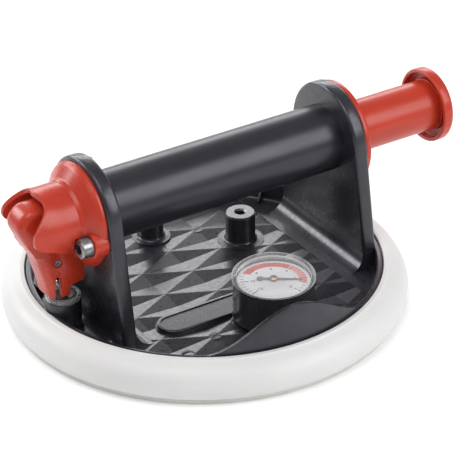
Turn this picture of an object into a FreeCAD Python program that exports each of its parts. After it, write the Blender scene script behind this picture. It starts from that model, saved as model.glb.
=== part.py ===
import FreeCAD, Part
import math
import os

# A pump-operated vacuum suction cup: a round die-cast base with a soft seal ring, a handle tube that is also
# the pump's cylinder, a spring-returned plunger, a release lever with its valve, and a vacuum gauge.
# Units are millimetres. +Z is up, +X runs along the handle towards the plunger. The origin is the centre of
# the seal's contact plane.

V = FreeCAD.Vector
X, Y, Z = V(1, 0, 0), V(0, 1, 0), V(0, 0, 1)

# ---- driving dimensions ------------------------------------------------------------------------------------
gap = 0.05                # clearance of parts that fit into each other
running = 0.06            # radial clearance of parts that slide or turn on each other
free = 0.4                # clearance between moving parts that never touch

# base casting
rim_r = 89.3              # outer radius of the rim wall
rim_wall = 3.0
rim_height = 10.6         # rim above the floor
plate_bottom = 5.0
plate_thickness = 4.0
flange_width = 4.7        # retaining flange that the seal ring grips
flange_thickness = 3.0
rib_count = 12
rib_first = 156.8         # degrees
rib_reach = 5.5
rib_thickness = 1.3
rib_height = 6.5

# facets of the floor
facet_x = 23.5            # pitch of the facet field along X
facet_y = 23.0
facet_depth = 1.3
facet_ridge = 0.5         # width of the ridges between facets
facet_origin = (-0.5, -2.0)
pad_r = 3.1               # flat round pads on two ridge crossings
badge_length = 78.0       # blank raised pad
badge_width = 16.4
badge_height = 1.5
badge_centre = (-5.0, -29.0)

# gauge guard
guard_centre = -91.6      # degrees
guard_half = 33.0         # degrees from the middle to each foot
guard_rise = 19.0
guard_wall = 2.8
guard_lean = 0.17         # inward lean per unit of height

# uprights and handle
handle_z = 68.5
upright_thickness = 7.6
upright_left = -61.2      # inner face of the upright at the release end
upright_right = 71.7      # inner face of the upright at the pump end
upright_margin = 11.2      # upright's rounded top beyond the barrel
upright_foot = 38.6       # half width at the floor
upright_round = 1.6       # radius of an upright's long edges
foot_fillet = 9.0
outer_fillet = 5.0
barrel_r = 17.2
barrel_wall = 2.55
barrel_pin_r = 3.4        # dowel pins that lock the barrel, flush with the uprights' tops
barrel_pin_bite = 1.5     # how far they enter the barrel's wall
air_r = 1.6               # air channel in the release-end upright

# threaded posts
post_top = 24.0
post_floor_r = 12.0       # flat floor round a post
post_1 = (37.0, 23.7)
post_1_r = 7.7
post_2 = (0.0, 51.5)
post_2_r = 6.4
insert_flange = 0.8
insert_r = 4.6
thread_r = 2.5            # wall of the M6 thread
thread_depth = 12.0

# seal
seal_overhang = 8.0       # widest point of the ring beyond the retaining flange
seal_rise = 0.8           # top of the ring above the rim
seal_inset = 9.3          # inner edge of the ring, inside the rim
lip_height = 3.0
lip_inset = 2.6           # lip's outer edge inside the ring's widest point
lip_reach = 2.0           # lip's inner edge inside the ring's

# release valve
valve_inset = 6.1         # valve axis from the lever's pivot
valve_boss_r = 8.7
valve_boss_top = 25.6
valve_bore_r = 5.6
valve_seat_z = 13.0
valve_seat_thickness = 2.0
valve_hole_r = 3.0
valve_cap_thickness = 1.6
valve_ring_height = 2.4
stem_r = 1.8
stem_head_r = 3.4
stem_head_height = 3.0
valve_travel = 1.3

# release lever
pivot_reach = 17.7        # pivot from the outer face of the upright
pivot_drop = 18.5         # pivot below the handle axis
pin_r = 1.6
lever_half = 8.0          # half width
lever_wall = 2.5
lever_crown_r = 13.6
cam_r = 3.0
cam_drop = 11.0           # cam centre below the pivot
lug_half = 2.6
lug_r = 4.4

# end cover
cover_disc = 2.5
cover_margin = 9.0        # cover's flange beyond the barrel
cover_depth = 10.0        # from the upright to the root of the hood
hood_r = 18.6
hood_wall = 2.2
spigot_length = 11.0
spigot_wall = 3.0
screw_margin = 3.8        # cover screw axes outside the barrel
screw_drop = 5.7          # screw axes below the handle axis
screw_r = 3.0             # M6
screw_head_r = 5.0
screw_head = 6.0
screw_seat = 7.4          # height of the screw pads above the upright
screw_pad_r = 6.5
oring_cord = 1.7

# pump
plunger_r = 13.2
plunger_wall = 1.6
knob_r = 19.3
knob_x = 133.6
knob_height = 6.2
knob_lip = 2.0
knob_groove = 4.2
stroke = 46.0
collar_disc = 3.4
collar_margin = 10.2      # collar beyond the barrel
collar_hub = 2.0
collar_spigot = 16.0
collar_screw_r = 2.0      # M4
collar_screw_length = 9.0
collar_screw_margin = 4.3 # collar screw axes outside the barrel
piston_length = 11.0
cup_width = 3.4
spring_r = 10.0
spring_wire = 1.0
spring_turns = 15

# gauge
gauge_x = 9.3
gauge_y = -48.9
gauge_r = 20.0
gauge_wall = 1.5
gauge_top = 30.6
gauge_cover_edge = 0.6    # cover's edge beyond the case
gauge_cover_height = 4.4
gauge_seal = 0.9
gauge_stem_r = 4.8
dial_gap = 1.9            # dial's edge inside the case's outer radius
dial_z = 29.2
needle_gap = 3.9          # needle's tip inside the dial's edge
needle_tail = 7.0
needle_angle = -35.0      # where the needle stands at rest, degrees from +X
needle_turn = 270.0

# check valve in the foot of the upright
check_r = 2.9
check_top = 15.6
filter_r = 4.6
filter_thickness = 1.2
ball_r = 2.0
ball_lift = 0.9

# ---- derived values ------------------------------------------------------------------------------------------
floor_z = plate_bottom + plate_thickness
rim_top = floor_z + rim_height
rim_in = rim_r - rim_wall
flange_r = rim_r + flange_width
seal_r = flange_r + seal_overhang
seal_top = rim_top + seal_rise
seal_inner_r = rim_r - seal_inset
lip_r = seal_r - lip_inset
lip_inner_r = seal_inner_r - lip_reach
upright_out_left = upright_left - upright_thickness
upright_out_right = upright_right + upright_thickness
pivot_x = upright_out_left - pivot_reach
pivot_z = handle_z - pivot_drop
valve_x = pivot_x + valve_inset
screw_z = handle_z - screw_drop
gauge_cover_r = gauge_r + gauge_cover_edge
dial_r = gauge_r - dial_gap
needle_length = dial_r - needle_gap
barrel_bore = barrel_r - barrel_wall
upright_top_r = barrel_r + upright_margin
cover_r = barrel_r + cover_margin
screw_y = barrel_r + screw_margin
collar_r = barrel_r + collar_margin
collar_screw_pcd = 2 * (barrel_r + collar_screw_margin)
air_x = upright_left - upright_thickness / 2
barrel_pin_places = (air_x, upright_right + upright_thickness / 2)
barrel_pin_foot = handle_z + barrel_r - barrel_pin_bite
knob_back = knob_x + knob_height
collar_face = upright_out_right + collar_disc
piston_right = upright_out_right - collar_spigot - free
piston_left = piston_right - piston_length
cover_face = upright_out_left - cover_disc
hood_root = upright_out_left - cover_depth
stem_top = pivot_z - cam_drop - cam_r - 0.2
centre = V(0, 0, handle_z)


# ---- helpers -------------------------------------------------------------------------------------------------
def cyl(r, start, axis, length):
    return Part.makeCylinder(r, length, start, axis)


def tube(r_out, r_in, start, axis, length):
    return cyl(r_out, start, axis, length).cut(cyl(r_in, start, axis, length))


def box(x0, x1, y0, y1, z0, z1):
    return Part.makeBox(x1 - x0, y1 - y0, z1 - z0, V(x0, y0, z0))


def both_y(shape):
    return [shape, shape.mirror(V(0, 0, 0), Y)]


def edge(a, b):
    return Part.LineSegment(a, b).toShape()


def arc(a, b, c):
    return Part.Arc(a, b, c).toShape()


def curve(points):
    spline = Part.BSplineCurve()
    spline.interpolate(points)
    return spline.toShape()


def lines(points):
    return [edge(a, b) for a, b in zip(points, points[1:])]


def face(edges):
    return Part.Face(Part.Wire(edges))


def loop(points):
    return face(lines(points + points[:1]))


def turned_z(points, x=0.0, y=0.0):
    """Solid of revolution about a vertical axis; points are (radius, z)."""
    ring = loop([V(x + r, y, z) for r, z in points])
    return ring.revolve(V(x, y, 0), Z, 360)


def turned_x(points):
    """Solid of revolution about the handle's axis; points are (x, radius)."""
    ring = loop([V(x, 0, handle_z + r) for x, r in points])
    return ring.revolve(centre, X, 360)


def on_handle(x, y=0.0, z=0.0):
    return V(x, y, handle_z + z)


def spring(radius, wire, turns, start, axis, length):
    """Helical spring whose end planes are at start and start + length along axis."""
    pitch = (length - 2 * wire) / turns
    path = Part.makeHelix(pitch, pitch * turns, radius)
    section = Part.Wire(Part.makeCircle(wire, V(radius, 0, 0), Y))
    coil = Part.Wire(path.Edges).makePipeShell([section], True, True)
    turn = FreeCAD.Rotation(Z, axis)
    coil.Placement = FreeCAD.Placement(start + axis * wire, turn)
    return coil


# ---- base casting --------------------------------------------------------------------------------------------
def upright_outline(grow=0.0, bottom=None):
    """Closed outline of an upright in the plane x = 0: round top, sides tangent to it."""
    r = upright_top_r + grow
    low = floor_z - 1.5 if bottom is None else bottom
    reach = math.hypot(upright_foot, handle_z - floor_z)
    lean = math.atan2(floor_z - handle_z, upright_foot) + math.acos(upright_top_r / reach)
    ty = r * math.cos(lean)
    tz = handle_z + r * math.sin(lean)
    slope = math.tan(lean)
    by = ty + (tz - low) * slope
    sides = [edge(V(0, -by, low), V(0, by, low)), edge(V(0, by, low), V(0, ty, tz)),
             arc(V(0, ty, tz), V(0, 0, handle_z + r), V(0, -ty, tz)), edge(V(0, -ty, tz), V(0, -by, low))]
    return face(sides)


def upright(x):
    """One upright plate from x to x + thickness, with its outline's edges rounded."""
    plate = upright_outline().extrude(V(upright_thickness, 0, 0))
    rims = [e for e in plate.Edges if abs(e.BoundBox.XLength) < 1e-6 and e.BoundBox.ZLength > 5]
    plate = plate.makeFillet(upright_round, rims)
    plate.translate(V(x, 0, 0))
    return plate


def foot(x, side, r):
    """Concave fillet between the floor and an upright's face at x; side is +1 or -1 along X."""
    low = floor_z - 0.5
    mid = r * (1 - math.sqrt(0.5))
    sides = lines([V(x + side * r, 0, floor_z), V(x + side * r, 0, low), V(x - side, 0, low),
                   V(x - side, 0, floor_z + r), V(x, 0, floor_z + r)])
    sides.append(arc(V(x, 0, floor_z + r), V(x + side * mid, 0, floor_z + mid), V(x + side * r, 0, floor_z)))
    bar = face(sides).extrude(V(0, 4 * upright_foot, 0))
    bar.translate(V(0, -2 * upright_foot, 0))
    limit = upright_outline(-upright_round, low).extrude(V(4 * r, 0, 0))
    limit.translate(V(x - 2 * r, 0, 0))
    return bar.common(limit)


def guard():
    """Wave-shaped wall that rises from the rim in front of the gauge."""
    top = rim_top + guard_rise + 2
    lean = (top - rim_top) * guard_lean
    out = rim_r - 0.6
    wall = turned_z([(out - guard_wall, floor_z - 1), (out, floor_z - 1), (out, rim_top), (out - lean, top),
                     (out - lean - guard_wall, top), (out - guard_wall, rim_top)])
    steps = 16
    wave = []
    for i in range(steps + 1):
        share = 2 * i / steps - 1
        angle = math.radians(guard_centre + share * guard_half)
        wave.append(V(rim_r * math.cos(angle), 0, rim_top - 0.3 + guard_rise * math.cos(share * math.pi / 2) ** 2))
    first, last = wave[0], wave[-1]
    low = floor_z - 1
    sides = lines([last, V(last.x, 0, low), V(first.x, 0, low), first])
    sides.append(curve(wave))
    mask = face(sides).extrude(V(0, -rim_r - 5, 0))
    return wall.common(mask)


def facets():
    """The pockets of the floor: four-sided pits on a diamond lattice, kept off everything that stands on it."""
    left = upright_left + 2.5
    right = upright_right - foot_fillet - 4
    top = floor_z + 0.2
    region = cyl(rim_in - 2.8, V(0, 0, floor_z - 3), Z, 3.2)
    region = region.common(box(left, right, -rim_r, rim_r, floor_z - 3, top))
    keep = [cyl(gauge_r + 1.2, V(gauge_x, gauge_y, floor_z - 3), Z, 4)]
    keep += [cyl(post_floor_r, V(post_1[0], post_1[1], floor_z - 3), Z, 4)]
    keep += [cyl(post_floor_r - 2, V(post_2[0], post_2[1], floor_z - 3), Z, 4)]
    keep += [badge_solid(0.8, floor_z - 3, floor_z + 1)]
    ox, oy = facet_origin
    for column, row in ((1, 2), (-1, -2)):
        keep.append(cyl(pad_r, V(ox + column * facet_x, oy + row * facet_y, floor_z - 3), Z, 4))
    region = region.cut(keep)
    half_x = facet_x - facet_ridge
    half_y = facet_y / 2 - facet_ridge / 2
    pits = []
    count = int(rim_r / facet_x) + 1
    for i in range(-count, count + 1):
        for j in range(-count - 1, count + 2):
            x = ox + i * facet_x
            y = oy + j * facet_y + (facet_y / 2 if i % 2 else 0)
            if math.hypot(x, y) > rim_in + facet_x:
                continue
            pits.append(pit(x, y, half_x, half_y))
    return region.common(Part.makeCompound(pits))


def pit(x, y, half_x, half_y):
    corners = [V(x + half_x, y, floor_z), V(x, y + half_y, floor_z), V(x - half_x, y, floor_z),
               V(x, y - half_y, floor_z)]
    bottom = V(x, y, floor_z - facet_depth)
    sides = [loop([a, b, bottom]) for a, b in zip(corners, corners[1:] + corners[:1])]
    return Part.Solid(Part.Shell(sides + [loop(corners)]))


def badge_solid(grow, z0, z1):
    """Capsule-shaped blank pad."""
    r = badge_width / 2 + grow
    half = badge_length / 2 - badge_width / 2
    cx, cy = badge_centre
    ends = [cyl(r, V(cx + s * half, cy, z0), Z, z1 - z0) for s in (-1, 1)]
    middle = box(cx - half, cx + half, cy - r, cy + r, z0, z1)
    return middle.fuse(ends).removeSplitter()


def rib(angle):
    """Small gusset between the floor and the rim wall."""
    sides = loop([V(rim_in - rib_reach, 0, floor_z - 1), V(rim_in + 1, 0, floor_z - 1),
                  V(rim_in + 1, 0, floor_z + rib_height), V(rim_in - 1, 0, floor_z + rib_height),
                  V(rim_in - rib_reach, 0, floor_z + 1)])
    gusset = sides.extrude(V(0, rib_thickness, 0))
    gusset.translate(V(0, -rib_thickness / 2, 0))
    gusset.rotate(V(0, 0, 0), Z, angle)
    return gusset


def base_casting():
    soft = 0.7
    plate = turned_z([(0, plate_bottom), (flange_r, plate_bottom), (flange_r, plate_bottom + flange_thickness),
                      (rim_r, plate_bottom + flange_thickness), (rim_r, rim_top - soft), (rim_r - soft, rim_top),
                      (rim_in + soft, rim_top), (rim_in, rim_top - soft), (rim_in, floor_z + 1.6),
                      (rim_in - 1.6, floor_z), (0, floor_z)])
    plate = plate.cut(facets())
    parts = [upright(upright_out_left), upright(upright_right), guard()]
    feet = [foot(upright_left, 1, foot_fillet), foot(upright_right, -1, foot_fillet),
            foot(upright_out_left, -1, outer_fillet), foot(upright_out_right, 1, outer_fillet)]
    inside = cyl(rim_r - 0.5, V(0, 0, plate_bottom), Z, 40)
    parts += [bar.common(inside) for bar in feet]
    parts.append(badge_solid(0, floor_z - 1, floor_z + badge_height))
    for (x, y), r in ((post_1, post_1_r), (post_2, post_2_r)):
        parts.append(turned_z([(0, floor_z - 1), (r + 1.8, floor_z - 1), (r + 1.8, floor_z), (r + 0.5, floor_z + 0.5),
                               (r, floor_z + 1.8), (r, post_top - 0.4), (r - 0.4, post_top), (0, post_top)], x, y))
    boss = turned_z([(0, floor_z - 1), (valve_boss_r, floor_z - 1), (valve_boss_r, valve_boss_top - 0.5),
                     (valve_boss_r - 0.5, valve_boss_top), (0, valve_boss_top)], valve_x)
    parts.append(boss)
    parts.append(cyl(gauge_stem_r + 4, V(gauge_x, gauge_y, plate_bottom), Z, plate_thickness))
    for i in range(rib_count):
        angle = rib_first + i * 360 / rib_count
        from_guard = (angle - guard_centre + 180) % 360 - 180
        if abs(from_guard) > guard_half - 4:
            parts.append(rib(angle))
    solid = plate.fuse(parts)
    cuts = [cyl(barrel_r + gap, on_handle(upright_out_left - 1), X, upright_out_right - upright_out_left + 2)]
    for x in barrel_pin_places:
        cuts.append(cyl(barrel_pin_r + gap, V(x, 0, handle_z), Z, 2 * upright_top_r))
    cuts.append(cyl(air_r, V(air_x, 0, plate_bottom), Z, handle_z - plate_bottom))
    cuts.append(cyl(check_r + gap, V(air_x, 0, plate_bottom), Z, check_top - plate_bottom))
    cuts.append(cyl(filter_r + gap, V(air_x, 0, plate_bottom), Z, filter_thickness))
    cuts.append(cyl(valve_bore_r, V(valve_x, 0, plate_bottom), Z, valve_seat_z - plate_bottom))
    cuts.append(cyl(valve_hole_r, V(valve_x, 0, plate_bottom), Z, 40))
    spring_floor = valve_seat_z + valve_seat_thickness
    cuts.append(cyl(valve_bore_r, V(valve_x, 0, spring_floor), Z, 40))
    cuts.append(cyl(gauge_stem_r + gap, V(gauge_x, gauge_y, 0), Z, 20))
    for (x, y), r in ((post_1, post_1_r), (post_2, post_2_r)):
        cuts.append(cyl(insert_r + gap, V(x, y, floor_z + 1.5), Z, 40))
    for s in (-1, 1):
        cuts.append(cyl(screw_r + gap, V(upright_out_left - 1, s * screw_y, screw_z), X, upright_thickness))
    tapped = collar_screw_length - collar_disc + 0.5
    for start in collar_screw_places():
        cuts.append(cyl(collar_screw_r + gap, start - X * tapped, X, tapped + 1))
    cuts.append(cyl(gauge_r + free, V(gauge_x, gauge_y, floor_z), Z, badge_height + 1))
    return solid.cut(cuts).removeSplitter()


def collar_screw_places():
    """Where the collar's screws enter the pump-end upright's outer face."""
    r = collar_screw_pcd / 2
    angles = [math.radians(-90 + i * 120) for i in range(3)]
    return [on_handle(upright_out_right, r * math.cos(a), r * math.sin(a)) for a in angles]


# ---- seal ----------------------------------------------------------------------------------------------------
def seal_ring():
    inner = rim_r + 0.3
    groove = flange_r + 0.3
    shoulder = [V(seal_r - 1.8, 0, lip_height + gap), V(seal_r, 0, lip_height + 5), V(seal_r - 1.1, 0, lip_height + 10),
                V(seal_r - 4.3, 0, seal_top - 3.9), V(inner + 2.9, 0, seal_top - 0.7)]
    low = plate_bottom - gap
    high = plate_bottom + flange_thickness + gap
    rest = lines([shoulder[-1], V(inner + 2.1, 0, seal_top), V(inner, 0, seal_top), V(inner, 0, high),
                  V(groove, 0, high), V(groove, 0, low), V(seal_inner_r + 2, 0, low),
                  V(seal_inner_r, 0, lip_height + gap), shoulder[0]])
    return face([curve(shoulder)] + rest).revolve(V(0, 0, 0), Z, 360)


def seal_lip():
    return turned_z([(lip_inner_r, 0.8), (lip_inner_r + 1.6, 0), (lip_r - 1.2, 0), (lip_r - 0.2, 0.5), (lip_r, 1.2),
                     (lip_r, lip_height - 0.4), (lip_r - 0.4, lip_height), (lip_inner_r + 0.5, lip_height)])


# ---- inserts and dowel pins ----------------------------------------------------------------------------------
def threaded_inserts():
    solids = []
    for (x, y), r in ((post_1, post_1_r), (post_2, post_2_r)):
        top = post_top + insert_flange
        solid = turned_z([(0, floor_z + 2), (insert_r, floor_z + 2), (insert_r, post_top + 0.02),
                          (r - 0.4, post_top + 0.02), (r - 0.4, top - 0.2), (r - 0.6, top), (0, top)], x, y)
        bore = cyl(thread_r, V(x, y, top - thread_depth), Z, thread_depth)
        mouth = Part.makeCone(thread_r, thread_r + 0.8, 0.8, V(x, y, top - 0.8), Z)
        solids.append(solid.cut([bore, mouth]))
    return Part.makeCompound(solids)


def barrel_pins():
    length = handle_z + upright_top_r - 0.3 - barrel_pin_foot
    pins = [cyl(barrel_pin_r, V(x, 0, barrel_pin_foot), Z, length) for x in barrel_pin_places]
    return Part.makeCompound([pin.makeChamfer(0.3, pin.Edges[-1:]) for pin in pins])


# ---- handle and pump ------------------------------------------------------------------------------------------
def pump_barrel():
    length = upright_out_right - upright_out_left
    shell = tube(barrel_r, barrel_bore, on_handle(upright_out_left), X, length)
    cuts = [cyl(air_r, V(air_x, 0, handle_z - barrel_r - 1), Z, barrel_r)]
    for x in barrel_pin_places:
        cuts.append(cyl(barrel_pin_r + gap, V(x, 0, barrel_pin_foot - gap), Z, barrel_r))
    return shell.cut(cuts)


def plunger_tube():
    return tube(plunger_r, plunger_r - plunger_wall, on_handle(piston_right), X, knob_x + 2 - piston_right)


def plunger_knob():
    """End knob: a disc with a rolled rim that leaves a groove round the tube, and a spigot inside the tube."""
    soft = 1.2
    rim_inner = knob_r - knob_lip
    floor_x = knob_x + knob_groove
    spigot = plunger_r - plunger_wall - gap
    points = [(knob_x - 8, 0), (knob_x - 8, spigot), (knob_x + 2 + gap, spigot), (knob_x + 2 + gap, plunger_r + 0.6),
              (floor_x, plunger_r + 0.6), (floor_x, rim_inner), (knob_x + 0.6, rim_inner), (knob_x, rim_inner + 0.7),
              (knob_x, knob_r - 0.7), (knob_x + 0.7, knob_r), (knob_back - soft, knob_r),
              (knob_back, knob_r - soft), (knob_back, 0)]
    dish = Part.makeSphere(60, on_handle(knob_back + 58.8))
    return turned_x(points).cut(dish)


def plunger_plug():
    """Plug in the inner end of the plunger tube that the piston is screwed to."""
    r = plunger_r - plunger_wall - gap
    plug = cyl(r, on_handle(piston_right), X, 8)
    return plug.cut(cyl(screw_r, on_handle(piston_right), X, 8))


def piston():
    r = barrel_bore - 0.25
    groove_r = r - 3.0
    cup = piston_left + 4
    points = [(piston_left, 0), (piston_left, r - 0.6), (piston_left + 0.6, r), (cup, r), (cup, groove_r),
              (cup + cup_width, groove_r), (cup + cup_width, r), (piston_right - gap, r), (piston_right - gap, 0)]
    solid = turned_x(points)
    nose = cyl(spring_r - spring_wire - 0.6, on_handle(piston_left - 4), X, 4)
    head = cyl(screw_head_r + 0.3, on_handle(piston_left - 4), X, 7)
    return solid.fuse(nose).cut([head, cyl(screw_r + gap, on_handle(piston_left), X, 20)])


def piston_cup():
    """Lipped rubber seal in the piston's groove."""
    cup = piston_left + 4
    inner = barrel_bore - 3.25 + gap
    outer = barrel_bore - running
    points = [(cup + gap, inner), (cup + cup_width - gap, inner), (cup + cup_width - gap, outer - 0.5),
              (cup + cup_width - 1.2, outer - 0.2), (cup + 0.9, outer), (cup + gap, outer),
              (cup + 0.5, outer - 0.9), (cup + 1.4, inner + 1.1), (cup + 0.3, inner + 0.5)]
    return turned_x(points)


def piston_screw():
    head = cyl(screw_head_r, on_handle(piston_left - 2.8), X, 5.75)
    thread = cyl(screw_r - gap, on_handle(piston_left + 2.9), X, piston_length + 4)
    socket = hexagon(2.5, on_handle(piston_left - 2.8), X, 3)
    return head.fuse(thread).cut(socket)


def hexagon(r, start, axis, length):
    """Hexagonal prism, r across its flats' half width."""
    corner = r / math.cos(math.pi / 6)
    across = Y if axis.dot(Y) < 0.5 else Z
    up = axis.cross(across)
    turns = [math.radians(60 * i) for i in range(6)]
    points = [start + across * (corner * math.cos(t)) + up * (corner * math.sin(t)) for t in turns]
    return loop(points).extrude(axis * length)


def return_spring():
    start = upright_out_left + gap
    return spring(spring_r, spring_wire, spring_turns, on_handle(start), X, piston_left - gap - start)


def pump_collar():
    """Guide flange with a spigot in the barrel; the plunger runs through it."""
    end = upright_out_right - collar_spigot
    bore = plunger_r + running
    hub = collar_face + collar_hub
    groove = collar_face - 1.4
    points = [(end, bore), (end, barrel_bore - gap), (upright_out_right + 0.02, barrel_bore - gap),
              (upright_out_right + 0.02, collar_r - 0.5), (upright_out_right + 0.6, collar_r),
              (collar_face - 1.0, collar_r), (collar_face, collar_r - 1.6), (collar_face + 0.4, plunger_r + 4.5),
              (hub, plunger_r + 3.4), (hub, bore), (groove + 2.2, bore), (groove + 2.2, plunger_r + 1.8),
              (groove, plunger_r + 1.8), (groove, bore)]
    solid = turned_x(points)
    cuts = []
    for start in collar_screw_places():
        cuts.append(cyl(collar_screw_r + 0.2, start - X, X, 20))
        cuts.append(Part.makeCone(collar_screw_r + 0.2, collar_screw_r + 2.3, 2.1, start + X * (collar_disc - 2.1), X))
    return solid.cut(cuts)


def collar_wiper():
    groove = collar_face - 1.4
    inner = plunger_r + 0.02
    return turned_x([(groove + gap, inner + 0.5), (groove + 1.1, inner), (groove + 2.15, inner + 0.5),
                     (groove + 2.15, plunger_r + 1.7), (groove + gap, plunger_r + 1.7)])


def collar_screws():
    screws = []
    for start in collar_screw_places():
        top = start + X * (collar_disc - 0.15)
        head = Part.makeCone(collar_screw_r, collar_screw_r + 1.9, 1.9, top - X * 1.9, X)
        shank = cyl(collar_screw_r - gap, top - X * collar_screw_length, X, collar_screw_length - 1)
        screws.append(head.fuse(shank).cut(hexagon(1.25, top - X * 1.2, X, 2)))
    return Part.makeCompound(screws)


# ---- end cover -----------------------------------------------------------------------------------------------
def hood():
    """Half-round hood over the lever, cut in side view to an S-shaped mouth and a sloping lower edge."""
    mouth = upright_out_left - 34.8
    shell = tube(hood_r, hood_r - hood_wall, on_handle(mouth - 4), X, hood_root + 2 - mouth + 4)
    low = handle_z - 12.0
    s_curve = curve([V(mouth + 3.0, 0, handle_z - 2.0), V(mouth, 0, handle_z + 2.2), V(mouth + 1.6, 0, handle_z + 7.0),
                     V(mouth + 6.6, 0, handle_z + 11.8), V(mouth + 10.2, 0, handle_z + 15.6),
                     V(mouth + 10.8, 0, handle_z + hood_r + 1)])
    rest = lines([V(mouth + 10.8, 0, handle_z + hood_r + 1), V(hood_root + 3, 0, handle_z + hood_r + 1),
                  V(hood_root + 3, 0, low), V(hood_root, 0, low), V(mouth + 3.0, 0, handle_z - 2.0)])
    side = face([s_curve] + rest).extrude(V(0, 4 * hood_r, 0))
    side.translate(V(0, -2 * hood_r, 0))
    return shell.common(side)


def end_cover():
    """Closes the barrel at the release end; carries the hood, the lever's lug and the screw pads."""
    back = upright_out_left - 0.02
    spigot_r = barrel_bore - gap
    spigot_in = spigot_r - spigot_wall
    inner_end = upright_out_left + spigot_length
    points = [(cover_face, 0), (cover_face, hood_r - hood_wall), (hood_root, hood_r - hood_wall),
              (hood_root, hood_r + 0.2), (hood_root + 1.4, hood_r + 1.4), (cover_face, cover_r - 0.8),
              (cover_face + 0.8, cover_r), (back, cover_r), (back, spigot_r), (inner_end, spigot_r),
              (inner_end, spigot_in), (back, spigot_in), (back, 0)]
    solid = turned_x(points)
    lever_slot = box(hood_root - 2, cover_face, -lever_half - 1.3, lever_half + 1.3, 0, handle_z - 4)
    solid = solid.cut(lever_slot)
    pads = both_y(cyl(screw_pad_r, V(upright_out_left - screw_seat, screw_y, screw_z), X, screw_seat - 0.02))
    inside = cyl(hood_r - hood_wall, on_handle(hood_root - 1), X, cover_face - hood_root + 1)
    pads = [p.cut(inside) for p in pads]
    lug = cyl(lug_r, V(pivot_x, -lug_half, pivot_z), Y, 2 * lug_half)
    arm = box(pivot_x, cover_face + 0.5, -lug_half, lug_half, pivot_z - lug_r, pivot_z + lug_r)
    web = box(cover_face - 2.5, cover_face + 0.5, -lug_half, lug_half, handle_z - cover_r + 1, pivot_z + lug_r)
    solid = solid.fuse([hood(), lug, arm, web] + pads)
    port = air_x
    cuts = [tube(barrel_bore, spigot_r - 1.0, on_handle(port - air_r), X, 2 * air_r)]
    cuts.append(cyl(air_r, V(port, 0, handle_z - barrel_bore), Z, 5))
    cuts.append(tube(barrel_bore, spigot_r - oring_cord + 0.3, on_handle(upright_out_left + 0.35), X, oring_cord + 0.1))
    cuts.append(cyl(pin_r + gap, V(pivot_x, -lever_half, pivot_z), Y, 2 * lever_half))
    for s in (-1, 1):
        start = V(upright_out_left - screw_seat, s * screw_y, screw_z)
        cuts.append(cyl(screw_r + 0.2, start - X, X, screw_seat + 2))
        cuts.append(cyl(screw_head_r + 0.4, start - X * (screw_head + 10), X, screw_head + 10))
    return solid.cut(cuts).removeSplitter()


def cover_oring():
    r = barrel_bore - 2 * gap - (oring_cord - 0.35) / 2
    ring = Part.makeTorus(r, (oring_cord - 0.35) / 2, on_handle(upright_out_left + 0.4 + oring_cord / 2), X)
    return ring


def cover_screws():
    screws = []
    for s in (-1, 1):
        seat = V(upright_out_left - screw_seat - 0.02, s * screw_y, screw_z)
        head = cyl(screw_head_r, seat - X * screw_head, X, screw_head)
        rims = [e for e in head.Edges if abs(e.BoundBox.XMax - (seat.x - screw_head)) < 1e-3 and e.Length > 20]
        head = head.makeChamfer(0.5, rims)
        shank = cyl(screw_r, seat, X, screw_seat + upright_thickness - 2)
        screws.append(head.fuse(shank).cut(hexagon(2.5, seat - X * screw_head, X, 3.2)))
    return Part.makeCompound(screws)


# ---- release lever ---------------------------------------------------------------------------------------------
def lever_front(inset=0.0):
    """Points of the lever's thumb side in side view, from the top down, moved in by inset."""
    points = [(-9.5, 32.0), (-15.2, 29.8), (-19.2, 23.5), (-16.3, 15.0), (-10.6, 4.4), (-7.9, -4.6), (-6.0, -11.6),
              (-4.3, -19.2)]
    return [V(pivot_x + x + inset, 0, pivot_z + z) for x, z in points]


def lever_side():
    """Side view of the lever as a face in the plane y = 0."""
    front = lever_front()
    back = lines([front[-1], V(pivot_x + 5.7, 0, pivot_z - 19.2), V(pivot_x + 5.9, 0, pivot_z - 14.0),
                  V(pivot_x + 14.0, 0, pivot_z - 12.5), V(pivot_x + 14.0, 0, pivot_z - 2.0),
                  V(pivot_x + 12.0, 0, pivot_z + 8.0), V(pivot_x - 2.0, 0, pivot_z + 19.0),
                  V(pivot_x - 4.5, 0, pivot_z + 32.0), front[0]])
    return face([curve(front)] + back)


def slab(side, y0, y1):
    solid = side.extrude(V(0, y1 - y0, 0))
    solid.translate(V(0, y0, 0))
    return solid


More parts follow.
